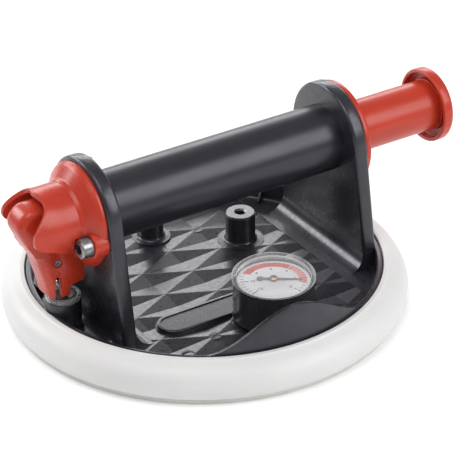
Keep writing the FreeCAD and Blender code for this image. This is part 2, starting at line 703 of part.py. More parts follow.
def release_lever():
    solid = slab(lever_side(), -lever_half, lever_half)
    inner = [p + V(lever_wall, 0, 0) for p in lever_front()]
    inner[0] = inner[0] + V(1.5, 0, -lever_wall)
    inner[1] = inner[1] + V(1.0, 0, -1.5)
    tail = inner[-1]
    low = V(tail.x, 0, tail.z - 5)
    pocket = face([curve(inner)] + lines([tail, low, V(pivot_x + 30, 0, low.z), V(pivot_x + 30, 0, inner[0].z),
                                          inner[0]]))
    solid = solid.cut(slab(pocket, lever_wall - lever_half, lever_half - lever_wall))
    cam = cyl(cam_r, V(valve_x, -lever_half + 0.5, pivot_z - cam_drop), Y, 2 * lever_half - 1)
    stay = box(valve_x - 1.2, valve_x + 1.2, -lever_half + 0.5, lever_half - 0.5, pivot_z - cam_drop,
               pivot_z - lug_r - 1.2)
    solid = solid.fuse([cam, stay])
    crown = cyl(lever_crown_r, on_handle(pivot_x - 40), X, 80)
    crown = crown.fuse(box(pivot_x - 40, pivot_x + 40, -20, 20, 0, handle_z)).removeSplitter()
    solid = solid.common(crown)
    slot_x = pivot_x - 0.4
    slot = box(slot_x - 1.7, slot_x + 1.7, -20, 20, pivot_z - 25, pivot_z - 9.0)
    tip = cyl(1.7, V(slot_x, -20, pivot_z - 9.0), Y, 40)
    cuts = [slot, tip, cyl(pin_r + running, V(pivot_x, -20, pivot_z), Y, 40)]
    for s in (-1, 1):
        cuts.append(cyl(pin_r + 0.8, V(pivot_x, s * (lever_half - 0.4) - 0.4, pivot_z), Y, 0.8))
    return solid.cut(cuts).removeSplitter()


def lever_pin():
    return cyl(pin_r, V(pivot_x, -lever_half + 0.5, pivot_z), Y, 2 * lever_half - 1)


def lever_spring():
    """Torsion spring round the pin, beside the lug."""
    length = lever_half - lever_wall - lug_half - 2 * 0.15
    return spring(pin_r + 0.9, 0.35, 1.5, V(pivot_x, lug_half + 0.15, pivot_z), Y, length)


# ---- release valve ---------------------------------------------------------------------------------------------
def valve_cap():
    top = valve_boss_top
    points = [(stem_r + 0.3, top - 2.4), (valve_bore_r - gap, top - 2.4), (valve_bore_r - gap, top + 0.02),
              (valve_boss_r - 1.0, top + 0.02), (valve_boss_r - 1.0, top + valve_cap_thickness - 0.5),
              (stem_head_r + 1.6, top + valve_cap_thickness), (stem_r + 0.3, top + valve_cap_thickness - 0.6)]
    return turned_z(points, valve_x)


def valve_ring():
    low = valve_boss_top + 0.02
    outer, inner = valve_boss_r - 0.1, valve_boss_r - 1.0 + gap
    points = [(inner, low), (outer, low), (outer, low + valve_ring_height - 0.7), (outer - 0.5, low + valve_ring_height),
              (inner - 0.9, low + valve_ring_height), (inner - 0.9, low + valve_cap_thickness + 0.05),
              (inner, low + valve_cap_thickness + 0.05)]
    return turned_z(points, valve_x)


def valve_stem():
    top = stem_top
    poppet_top = valve_seat_z - 1.0
    collar = valve_boss_top - 2.4 - 0.3
    points = [(0, poppet_top - 1.2), (valve_bore_r - 0.8, poppet_top - 1.2), (valve_bore_r - 0.8, poppet_top),
              (stem_r, poppet_top), (stem_r, collar - 1.2), (valve_bore_r - 0.7, collar - 1.2),
              (valve_bore_r - 0.7, collar), (stem_r, collar), (stem_r, top - stem_head_height),
              (stem_head_r, top - stem_head_height + 0.4), (stem_head_r, top - 0.5), (stem_head_r - 0.5, top), (0, top)]
    return turned_z(points, valve_x)


def valve_seal():
    poppet_top = valve_seat_z - 1.0
    return turned_z([(stem_r + 0.03, poppet_top + 0.02), (valve_bore_r - 0.9, poppet_top + 0.02),
                     (valve_bore_r - 0.9, valve_seat_z - 0.03), (stem_r + 0.03, valve_seat_z - 0.03)], valve_x)


def valve_spring():
    low = valve_seat_z + valve_seat_thickness + gap
    high = valve_boss_top - 2.4 - 0.3 - 1.2 - gap
    return spring(stem_r + 1.5, 0.4, 4, V(valve_x, 0, low), Z, high - low)


# ---- gauge -----------------------------------------------------------------------------------------------------
def gauge_case():
    low = floor_z + gauge_seal + 2 * gap
    inner = gauge_r - gauge_wall
    points = [(gauge_stem_r + gap, low), (gauge_r - 0.8, low), (gauge_r, low + 0.8), (gauge_r, gauge_top),
              (inner, gauge_top), (inner, dial_z - 0.05), (inner - 1.2, dial_z - 0.05), (inner - 1.2, low + 2),
              (gauge_stem_r + gap, low + 2)]
    return turned_z(points, gauge_x, gauge_y)


def gauge_seal_washer():
    return turned_z([(gauge_stem_r + gap, floor_z + gap), (gauge_stem_r + 4, floor_z + gap),
                     (gauge_stem_r + 4, floor_z + gauge_seal), (gauge_stem_r + gap, floor_z + gauge_seal)],
                    gauge_x, gauge_y)


def gauge_stem():
    """Threaded connector with its bore, and the block that carries the bourdon tube."""
    low = floor_z + gauge_seal + 2 * gap + 2
    points = [(1.2, plate_bottom + 0.2), (gauge_stem_r, plate_bottom + 0.2), (gauge_stem_r, low + 0.05),
              (gauge_stem_r + 2, low + 0.05), (gauge_stem_r + 2, low + 3), (1.2, low + 3)]
    return turned_z(points, gauge_x, gauge_y)


def movement_plate():
    low = gauge_movement_z()
    plate = cyl(8.5, V(gauge_x, gauge_y, low), Z, 1.2)
    legs = []
    stem_top_z = floor_z + gauge_seal + 2 * gap + 5
    for i in range(3):
        a = math.radians(30 + 120 * i)
        foot_at = V(gauge_x + 5.4 * math.cos(a), gauge_y + 5.4 * math.sin(a), stem_top_z + gap)
        legs.append(cyl(0.9, foot_at, Z, low - stem_top_z - gap + 0.5))
    return plate.fuse(legs).cut(cyl(0.8 + running, V(gauge_x, gauge_y, 0), Z, 60))


def gauge_movement_z():
    return dial_z - 5.0


def bourdon_tube():
    """C-shaped flattened tube that bends as the vacuum rises."""
    z0 = floor_z + gauge_seal + 2 * gap + 3.6
    ring = turned_z([(12.4, z0), (13.8, z0), (13.8, z0 + 4.6), (12.4, z0 + 4.6)], gauge_x, gauge_y)
    corner = V(gauge_x, gauge_y, z0 - 1)
    wedge = loop([corner, corner + V(18, -16, 0), corner + V(18, 16, 0)]).extrude(V(0, 0, 8))
    ring = ring.cut(wedge)
    a = math.radians(48)
    arm = box(gauge_stem_r + 1.0, 13.2, -1.2, 1.2, z0 - 0.4, z0 + 2.4)
    arm.rotate(V(0, 0, 0), Z, math.degrees(a))
    arm.translate(V(gauge_x, gauge_y, 0))
    core = cyl(gauge_stem_r + 2.05, V(gauge_x, gauge_y, 0), Z, 60)
    return ring.fuse(arm.cut(core)).removeSplitter()


def gauge_spindle():
    low = gauge_movement_z() - 2.0
    return cyl(0.8, V(gauge_x, gauge_y, low), Z, dial_z + 1.6 - low)


def gauge_dial():
    disc = cyl(dial_r, V(gauge_x, gauge_y, dial_z), Z, 0.6)
    return disc.cut(cyl(1.5, V(gauge_x, gauge_y, dial_z - 1), Z, 3))


def gauge_scale():
    """Printed red band, a thin raised arc on the dial."""
    z0 = dial_z + 0.62
    band = tube(dial_r - 1.9, dial_r - 5.6, V(gauge_x, gauge_y, z0), Z, 0.12)
    corner = V(gauge_x, gauge_y, z0 - 1)
    reach = [corner + V(60 * math.cos(math.radians(a)), 60 * math.sin(math.radians(a)), 0) for a in (-42, 41, 124)]
    sector = loop([corner] + reach).extrude(V(0, 0, 3))
    return band.common(sector)


def gauge_needle():
    z0 = dial_z + 1.15
    blade = loop([V(gauge_x + 1.0, gauge_y - 0.8, z0), V(gauge_x + needle_length, gauge_y - 0.16, z0),
                  V(gauge_x + needle_length, gauge_y + 0.16, z0), V(gauge_x + 1.0, gauge_y + 0.8, z0)])
    tail = box(gauge_x - needle_tail, gauge_x + 1.2, gauge_y - 0.6, gauge_y + 0.6, z0, z0 + 0.4)
    weight = cyl(1.7, V(gauge_x - needle_tail + 0.4, gauge_y, z0), Z, 0.4)
    solid = blade.extrude(V(0, 0, 0.4)).fuse([tail, weight, cyl(1.9, V(gauge_x, gauge_y, z0), Z, 0.4)])
    solid = solid.cut(cyl(0.8 + gap, V(gauge_x, gauge_y, z0 - 1), Z, 3)).removeSplitter()
    solid.rotate(V(gauge_x, gauge_y, 0), Z, needle_angle)
    return solid


def gauge_hub():
    z0 = dial_z + 1.6
    return turned_z([(0, z0 + 0.02), (2.0, z0 + 0.02), (2.0, z0 + 0.5), (1.5, z0 + 0.9), (0, z0 + 0.9)],
                    gauge_x, gauge_y)


def gauge_cover():
    """Clear cover with a rounded edge, snapped over the case's rim."""
    low = gauge_top + 0.03
    top = low + gauge_cover_height
    r = gauge_cover_r
    wall = 1.7
    points = [(r - wall - 0.5, low), (r - 0.6, low), (r, low + 0.7), (r, low + 1.9), (r - 0.6, low + 3.0),
              (r - 1.8, top - 0.5), (r - 3.4, top - 0.1), (r - 5.0, top), (0, top), (0, top - 1.3),
              (r - 5.0, top - 1.3), (r - wall - 0.9, top - 2.0), (r - wall - 0.5, top - 2.7)]
    return turned_z(points, gauge_x, gauge_y)


# ---- check valve -----------------------------------------------------------------------------------------------
def seat_low():
    return plate_bottom + filter_thickness + gap


def check_seat():
    low = seat_low()
    top = low + 3.3
    points = [(1.2, low), (check_r, low), (check_r, top), (1.9, top), (1.2, top - 0.7)]
    return turned_z(points, air_x)


def ball_centre():
    cone_foot = seat_low() + 3.3 - 0.7
    contact = ball_r * math.sqrt(0.5)
    return V(air_x, 0, cone_foot + (contact - 1.2) + contact + 0.03)


def check_ball():
    return Part.makeSphere(ball_r, ball_centre())


def check_spring():
    low = ball_centre().z + ball_r + 0.02
    return spring(1.7, 0.2, 3, V(air_x, 0, low), Z, check_top - gap - low)


def intake_filter():
    return cyl(filter_r, V(air_x, 0, plate_bottom + 0.02), Z, filter_thickness - 0.04)


# ---- one file per sub-part -------------------------------------------------------------------------------------
nodes = {
    "base_casting": base_casting,
    "seal_ring": seal_ring,
    "seal_lip": seal_lip,
    "threaded_inserts": threaded_inserts,
    "barrel_pins": barrel_pins,
    "pump_barrel": pump_barrel,
    "plunger_tube": plunger_tube,
    "plunger_knob": plunger_knob,
    "plunger_plug": plunger_plug,
    "piston": piston,
    "piston_cup": piston_cup,
    "piston_screw": piston_screw,
    "return_spring": return_spring,
    "pump_collar": pump_collar,
    "collar_wiper": collar_wiper,
    "collar_screws": collar_screws,
    "end_cover": end_cover,
    "cover_oring": cover_oring,
    "cover_screws": cover_screws,
    "release_lever": release_lever,
    "lever_pin": lever_pin,
    "lever_spring": lever_spring,
    "valve_cap": valve_cap,
    "valve_ring": valve_ring,
    "valve_stem": valve_stem,
    "valve_seal": valve_seal,
    "valve_spring": valve_spring,
    "gauge_case": gauge_case,
    "gauge_seal": gauge_seal_washer,
    "gauge_stem": gauge_stem,
    "movement_plate": movement_plate,
    "bourdon_tube": bourdon_tube,
    "gauge_spindle": gauge_spindle,
    "gauge_dial": gauge_dial,
    "gauge_scale": gauge_scale,
    "gauge_needle": gauge_needle,
    "gauge_hub": gauge_hub,
    "gauge_cover": gauge_cover,
    "check_seat": check_seat,
    "check_ball": check_ball,
    "check_spring": check_spring,
    "intake_filter": intake_filter,
}

os.makedirs("parts", exist_ok=True)
for name, make in nodes.items():
    shape = make()
    if not shape.isValid() or shape.Volume <= 0:
        raise ValueError(f"{name} is not a valid solid")
    shape.exportStep(f"parts/{name}.step")
    print(f"{name:20s} {len(shape.Solids)} solid(s) {shape.Volume:12.1f} mm3")
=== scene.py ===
import math

import bmesh
import bpy
from mathutils import Matrix, Vector


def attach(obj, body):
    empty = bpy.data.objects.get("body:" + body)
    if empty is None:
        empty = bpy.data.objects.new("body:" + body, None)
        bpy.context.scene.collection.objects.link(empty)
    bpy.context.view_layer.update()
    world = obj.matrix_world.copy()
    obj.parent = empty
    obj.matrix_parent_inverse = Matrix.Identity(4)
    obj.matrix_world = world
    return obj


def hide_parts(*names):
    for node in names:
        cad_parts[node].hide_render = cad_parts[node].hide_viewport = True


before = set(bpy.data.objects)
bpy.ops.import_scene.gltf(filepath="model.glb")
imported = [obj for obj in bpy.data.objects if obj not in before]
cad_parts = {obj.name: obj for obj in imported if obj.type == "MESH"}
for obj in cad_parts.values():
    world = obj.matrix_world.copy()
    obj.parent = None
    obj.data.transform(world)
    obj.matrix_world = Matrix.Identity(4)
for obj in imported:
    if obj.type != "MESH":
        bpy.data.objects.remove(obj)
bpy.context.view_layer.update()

bl_info = {
    "name": "Vacuum suction cup",
    "version": (1, 0, 0),
    "blender": (4, 5, 0),
    "location": "View3D > Sidebar > Suction cup",
    "description": "Builds the visible pieces of a pump-operated vacuum suction cup round its CAD frame",
    "category": "Add Mesh",
}

# Lengths in the tables below are millimetres; MM turns them into Blender's metres.
MM = 0.001
FLOOR = 9.0                     # top of the casting's floor
PIT_FLOOR = 7.5                 # foot of everything that is let into the floor
RIM_TOP = 19.6
RIM_OUT, RIM_IN = 89.3, 86.3
HANDLE_Z = 68.5
UPRIGHTS = ((-68.8, -61.2), (71.7, 79.3))    # outer and inner faces along X
UPRIGHT_TOP_R, UPRIGHT_FOOT = 28.27, 38.6
GAUGE = (9.3, -48.9)
POSTS = (((37.0, 23.7), 7.7, 12.0), ((0.0, 51.5), 6.4, 10.0))    # place, radius, radius of the flat round it
VALVE = (-80.4, 0.0)
FACETS = (-0.5, -2.0)           # centre of one pit
PADS = ((23.0, 44.0), (-24.0, -48.0))
BADGE, BADGE_REACH = (-5.0, -29.0), 30.8     # its middle, and how far its round ends' centres are from it
SCREW_PLACES = ((-76.22, -21.0, 62.8), (-76.22, 21.0, 62.8))
PIVOT = (-86.5, 50.0)
PIN_HOLE_R = 1.66
DIAL_Z, DIAL_START = 29.2, -71.0        # the scale's first mark, degrees from X
GUARD_MIDDLE = -91.6            # degrees from X
FACETS_END = 58.7               # along X, at the uprights


# ---- sizes and colours that a user may change ----
def length(name, text, value):
    return bpy.props.FloatProperty(name=name, description=text, default=value * MM, min=0.0, precision=5,
                                   unit="LENGTH", subtype="DISTANCE")


def colour(name, text, value):
    return bpy.props.FloatVectorProperty(name=name, description=text, default=value, min=0.0, max=1.0, size=3,
                                         subtype="COLOR")


def power(name, text, value):
    return bpy.props.FloatProperty(name=name, description=text, default=value, unit="POWER")


class CupSizes(bpy.types.PropertyGroup):
    facet_x: length("Facet half length", "Half of a floor pit along the handle", 23.5)
    facet_y: length("Facet half width", "Half of a floor pit across the handle", 11.5)
    facet_depth: length("Facet depth", "How deep the middle of a pit lies", 1.3)
    ridge: length("Ridge width", "Width of the flat ridges between pits", 0.5)
    edge: length("Casting edge", "Radius of the casting's long edges", 1.6)
    guard_rise: length("Guard rise", "Height of the gauge guard over the rim", 19.0)
    hood_wall: length("Hood wall", "Wall of the hood over the lever", 2.2)
    lever_round: length("Lever rounding", "Radius of the lever's front edges", 4.0)
    knob_lip: length("Knob lip", "Width of the knob's rolled rim", 2.0)


class CupColours(bpy.types.PropertyGroup):
    casting: colour("Casting", "Black powder coat of the base casting", (0.017, 0.017, 0.022))
    barrel: colour("Barrel", "Black handle tube", (0.016, 0.016, 0.021))
    red: colour("Red parts", "Red plastic of the lever, cover, plunger and knob", (0.49, 0.038, 0.016))
    ring: colour("Seal ring", "Off-white rubber of the seal ring", (0.745, 0.745, 0.742))
    lip: colour("Seal lip", "Greyer rubber of the lip under the ring", (0.62, 0.64, 0.60))
    dial_red: colour("Dial red", "Printed red zone", (0.62, 0.05, 0.035))
    dial_pink: colour("Dial pink", "Printed pale zone", (0.80, 0.30, 0.27))


class StudioSettings(bpy.types.PropertyGroup):
    key: power("Key light", "Power of the main softbox", 4.6)
    back: power("Back light", "Power of the low strip behind", 9.0)
    side: power("Side light", "Power of the small softbox behind on the left", 5.2)
    top: power("Top light", "Power of the softbox overhead", 4.6)
    world: bpy.props.FloatProperty(name="Room light", description="Strength of the even light", default=0.33, min=0.0)


# ---- modelling helpers ----
def idle():
    """Back to object mode with nothing selected."""
    if bpy.context.object is not None and bpy.context.object.mode != "OBJECT":
        bpy.ops.object.mode_set(mode="OBJECT")
    bpy.ops.object.select_all(action="DESELECT")


def only(piece):
    idle()
    piece.select_set(True)
    bpy.context.view_layer.objects.active = piece


def edit(piece):
    only(piece)
    bpy.ops.object.mode_set(mode="EDIT")
    bpy.ops.mesh.select_mode(type="VERT")
    bpy.ops.mesh.select_all(action="SELECT")


def pick(piece, kind, test):
    """Selects the vertices, edges or faces that pass the test, in edit mode."""
    bpy.ops.mesh.select_mode(type=kind)
    bpy.ops.mesh.select_all(action="DESELECT")
    mesh = bmesh.from_edit_mesh(piece.data)
    for item in {"VERT": mesh.verts, "EDGE": mesh.edges, "FACE": mesh.faces}[kind]:
        if test(item):
            item.select_set(True)
    mesh.select_flush_mode()
    bmesh.update_edit_mesh(piece.data)


def middle(item):
    """Middle of an edge or a face, in millimetres."""
    return sum((v.co for v in item.verts), Vector()) / len(item.verts) / MM


def arc(centre, radius, start, end, steps):
    """Points on an arc in a plane; angles in degrees."""
    turns = [math.radians(start + (end - start) * i / steps) for i in range(steps + 1)]
    return [(centre[0] + radius * math.cos(t), centre[1] + radius * math.sin(t)) for t in turns]


def softened(points, steps=4):
    """Rounds each corner that has a third number, its radius."""
    path = []
    for i, point in enumerate(points):
        here = Vector(point[:2])
        if len(point) < 3:
            path.append(tuple(here))
            continue
        a = (Vector(points[i - 1][:2]) - here).normalized()
        b = (Vector(points[(i + 1) % len(points)][:2]) - here).normalized()
        half = a.angle(b) / 2
        centre = here + (a + b).normalized() * (point[2] / math.sin(half))
        u = here + a * (point[2] / math.tan(half)) - centre
        v = here + b * (point[2] / math.tan(half)) - centre
        turn = u.angle(v)
        for k in range(steps + 1):
            t = k / steps
            path.append(tuple(centre + (u * math.sin((1 - t) * turn) + v * math.sin(t * turn)) / math.sin(turn)))
    return path


def smooth_line(points, steps=4):
    """More points on a smooth line through the given ones."""
    path = []
    ends = [points[0]] + list(points) + [points[-1]]
    for a, b, c, d in zip(ends, ends[1:], ends[2:], ends[3:]):
        for k in range(steps):
            t = k / steps
            path.append(tuple(0.5 * (2 * q + (r - p) * t + (2 * p - 5 * q + 4 * r - s) * t * t
                                     + (3 * q - p - 3 * r + s) * t ** 3) for p, q, r, s in zip(a, b, c, d)))
    return path + [tuple(points[-1])]


def line(name, points, closed=True):
    """A new piece that is one line of vertices through the points, left in edit mode and all selected."""
    idle()
    bpy.ops.mesh.primitive_plane_add(size=MM)
    piece = bpy.context.object
    piece.name = name
    piece.data.name = name
    edit(piece)
    bpy.ops.mesh.merge(type="CENTER")
    places = [Vector(p) * MM for p in points]
    bpy.ops.transform.translate(value=places[0])
    for a, b in zip(places, places[1:]):
        bpy.ops.mesh.extrude_vertices_move(TRANSFORM_OT_translate={"value": b - a})
    if closed:
        ends = (places[0], places[-1])
        pick(piece, "VERT", lambda v: min((v.co - e).length for e in ends) < 1e-7)
        bpy.ops.mesh.edge_face_add()
    bpy.ops.mesh.select_all(action="SELECT")
    return piece


def sealed():
    """Merges doubles and turns the faces outwards; edit mode."""
    bpy.ops.mesh.select_all(action="SELECT")
    bpy.ops.mesh.remove_doubles(threshold=1e-6)
    bpy.ops.mesh.normals_make_consistent(inside=False)


def turned(name, profile, place=(0.0, 0.0), steps=96):
    """Turned piece about a vertical axis; the profile is (radius, height), open where it starts on the axis."""
    x, y = place
    piece = line(name, [(x + r, y, z) for r, z in profile], profile[0][0] > 0)
    return spun(piece, (x, y, 0), (0, 0, 1), steps)


def turned_x(name, profile, place=(0.0, HANDLE_Z), steps=96):
    """Turned piece about an axis along X; the profile is (x, radius)."""
    y, z = place
    piece = line(name, [(x, y, z + r) for x, r in profile], profile[0][1] > 0)
    return spun(piece, (0, y, z), (1, 0, 0), steps)


def spun(piece, centre, axis, steps):
    bpy.ops.mesh.spin(steps=steps, angle=math.tau, center=[c * MM for c in centre], axis=axis)
    sealed()
    idle()
    return piece


def block(name, outline, shift):
    """The outline's face pulled out by shift, as a closed piece."""
    piece = line(name, outline)
    bpy.ops.mesh.edge_face_add()
    bpy.ops.mesh.extrude_region_move(TRANSFORM_OT_translate={"value": Vector(shift) * MM})
    sealed()
    idle()
    return piece


def trim(piece, point, outward, fill=True):
    """Cuts away what lies beyond a plane."""
    edit(piece)
    bpy.ops.mesh.bisect(plane_co=Vector(point) * MM, plane_no=outward, clear_outer=True, use_fill=fill)
    idle()
    return piece


def add_modifier(piece, kind, **values):
    """Adds a modifier, sets it and applies it."""
    only(piece)
    bpy.ops.object.modifier_add(type=kind)
    modifier = piece.modifiers[-1]
    for name, value in values.items():
        setattr(modifier, name, value)
    bpy.ops.object.modifier_apply(modifier=modifier.name)
    return piece


def rounded(piece, width, segments=3, angle=35.0):
    return add_modifier(piece, "BEVEL", width=width * MM, segments=segments, limit_method="ANGLE",
                        angle_limit=math.radians(angle), harden_normals=False)


def cut(piece, tool, operation="DIFFERENCE"):
    """Cuts one piece with another, which is then removed."""
    add_modifier(piece, "BOOLEAN", operation=operation, object=tool, solver="EXACT")
    bpy.data.objects.remove(tool)
    return piece


def rod(radius, start, axis, reach, vertices=48):
    """A plain round cutter from start along axis."""
    idle()
    way = Vector(axis).normalized()
    middle_point = (Vector(start) + way * reach / 2) * MM
    bpy.ops.mesh.primitive_cylinder_add(vertices=vertices, radius=radius * MM, depth=reach * MM,
                                        location=middle_point, rotation=way.to_track_quat("Z", "X").to_euler())
    bpy.ops.object.transform_apply()
    return bpy.context.object


def cuboid(low, high):
    idle()
    low, high = Vector(low) * MM, Vector(high) * MM
    bpy.ops.mesh.primitive_cube_add(size=1.0, location=(low + high) / 2)
    piece = bpy.context.object
    piece.scale = high - low
    bpy.ops.object.transform_apply()
    return piece


def joined(name, pieces):
    idle()
    for piece in pieces:
        piece.select_set(True)
    bpy.context.view_layer.objects.active = pieces[0]
    bpy.ops.object.join()
    pieces[0].name = name
    pieces[0].data.name = name
    return pieces[0]


def copied(piece, name, shift):
    """A copy with its own mesh, moved in the mesh."""
    only(piece)
    bpy.ops.object.duplicate()
    twin = bpy.context.object
    twin.name = name
    edit(twin)
    bpy.ops.transform.translate(value=Vector(shift) * MM)
    idle()
    return twin


def done(piece, body, finish, replaces=(), angle=30.0):
    """Shades a finished piece, gives it its material and ties it to its body."""
    only(piece)
    bpy.ops.object.shade_smooth_by_angle(angle=math.radians(angle))
    piece.data.materials.clear()
    piece.data.materials.append(FINISHES[finish])
    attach(piece, body)
    if replaces:
        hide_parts(*replaces)
    idle()
    return piece


# ---- finishes ----
class Finish:
    """A principled material whose patterns follow the piece's own coordinates."""

    def __init__(self, name, colour_value, roughness, metallic=0.0, **sockets):
        self.material = bpy.data.materials.new(name)
        self.material.use_nodes = True
        self.tree = self.material.node_tree
        self.shader = self.tree.nodes["Principled BSDF"]
        self.colour = tuple(colour_value) + (1.0,)
        self.shader.inputs["Base Color"].default_value = self.colour
        self.shader.inputs["Roughness"].default_value = roughness
        self.shader.inputs["Metallic"].default_value = metallic
        for socket, value in sockets.items():
            self.shader.inputs[socket.replace("_", " ")].default_value = value
        self.coordinates = self.tree.nodes.new("ShaderNodeTexCoord")
        self.last_bump = None

    def noise(self, size, detail=3.0, along=1.0):
        """Noise whose lumps are about size millimetres, longer along X where along is under 1."""
        mapping = self.tree.nodes.new("ShaderNodeMapping")
        mapping.inputs["Scale"].default_value = (along, 1.0, 1.0)
        self.tree.links.new(self.coordinates.outputs["Object"], mapping.inputs["Vector"])
        node = self.tree.nodes.new("ShaderNodeTexNoise")
        node.inputs["Scale"].default_value = 1.0 / (size * MM)
        node.inputs["Detail"].default_value = detail
        self.tree.links.new(mapping.outputs["Vector"], node.inputs["Vector"])
        return node.outputs["Fac"]

    def ranged(self, value, low, high, start=0.3, end=0.7):
        node = self.tree.nodes.new("ShaderNodeMapRange")
        node.inputs["From Min"].default_value = start
        node.inputs["From Max"].default_value = end
        node.inputs["To Min"].default_value = low
        node.inputs["To Max"].default_value = high
        self.tree.links.new(value, node.inputs["Value"])
        return node.outputs["Result"]

    def shade(self, value, dark, light):
        """Lets the colour wander between two brightnesses of itself."""
        ramp = self.tree.nodes.new("ShaderNodeValToRGB")
        for stop, place, share in zip(ramp.color_ramp.elements, (0.3, 0.7), (dark, light)):
            stop.position = place
            stop.color = [min(1.0, c * share) for c in self.colour[:3]] + [1.0]
        self.tree.links.new(value, ramp.inputs["Fac"])
        self.tree.links.new(ramp.outputs["Color"], self.shader.inputs["Base Color"])
        return self

    def gloss(self, value, low, high):
        self.tree.links.new(self.ranged(value, low, high), self.shader.inputs["Roughness"])
        return self

    def bump(self, value, height, strength):
        """Adds relief of height millimetres."""
        node = self.tree.nodes.new("ShaderNodeBump")
        node.inputs["Strength"].default_value = strength
        node.inputs["Distance"].default_value = height * MM
        self.tree.links.new(value, node.inputs["Height"])
        if self.last_bump is not None:
            self.tree.links.new(self.last_bump, node.inputs["Normal"])
        self.last_bump = node.outputs["Normal"]
        self.tree.links.new(self.last_bump, self.shader.inputs["Normal"])
        return self


FINISHES = {}
BLUISH = {"Specular_Tint": (0.88, 0.88, 1.0, 1.0)}
# Plain finishes: name, colour, roughness, metal; then noise (lump size in mm, detail) and what it sets, for the shade
# (darkest and lightest share of the colour), the gloss (roughness from and to) and the bump (height in mm, strength).
PLAIN_FINISHES = {
    "steel": ("zinc_screw_steel", (0.30, 0.30, 0.31), 0.30, 1.0, (1.6, 4.0), (0.7, 1.25), (0.8, 3.0), (0.22, 0.42),
              (0.25, 2.0), (0.01, 0.4)),
    "bright": ("machined_insert", (0.26, 0.26, 0.27), 0.42, 1.0, (1.0, 3.0), (0.85, 1.1), (0.6, 3.0), (0.36, 0.5),
               (0.2, 2.0), (0.008, 0.4)),
    "spring": ("spring_steel", (0.36, 0.36, 0.38), 0.28, 1.0, (1.0,), (0.8, 1.2), None, None, (0.15,), (0.006, 0.3)),
    "brass": ("brass", (0.62, 0.45, 0.20), 0.3, 1.0, (1.2,), (0.85, 1.12), (0.7,), (0.24, 0.4), (0.2,), (0.008, 0.3)),
    "dial": ("dial_enamel", (0.78, 0.78, 0.80), 0.45, 0.0, (6.0,), (0.99, 1.01), None, None, (0.4,), (0.005, 0.2)),
    "ink": ("dial_black_print", (0.03, 0.03, 0.03), 0.5, 0.0, (0.6,), (0.8, 1.2), None, None, (0.3,), (0.004, 0.2)),
    "pointer": ("pointer_grey", (0.16, 0.17, 0.18), 0.4, 0.0, (1.2,), (0.9, 1.1), None, None, (0.3,), (0.004, 0.2)),
    "rubber": ("black_rubber", (0.014, 0.014, 0.015), 0.55, 0.0, (2.0,), (0.8, 1.2), None, None, (0.4,), (0.02, 0.4)),
    "acetal": ("piston_plastic", (0.06, 0.06, 0.065), 0.4, 0.0, (4.0,), (0.85, 1.15), (1.0,), (0.35, 0.48), (0.5,),
               (0.01, 0.3)),
}


def plain_finish(name, colour_value, roughness, metallic, shade_noise, shade, gloss_noise, gloss, bump_noise, bump):
    made = Finish(name, colour_value, roughness, metallic)
    made.shade(made.noise(*shade_noise), *shade)
    if gloss:
        made.gloss(made.noise(*gloss_noise), *gloss)
    return made.bump(made.noise(*bump_noise), *bump)


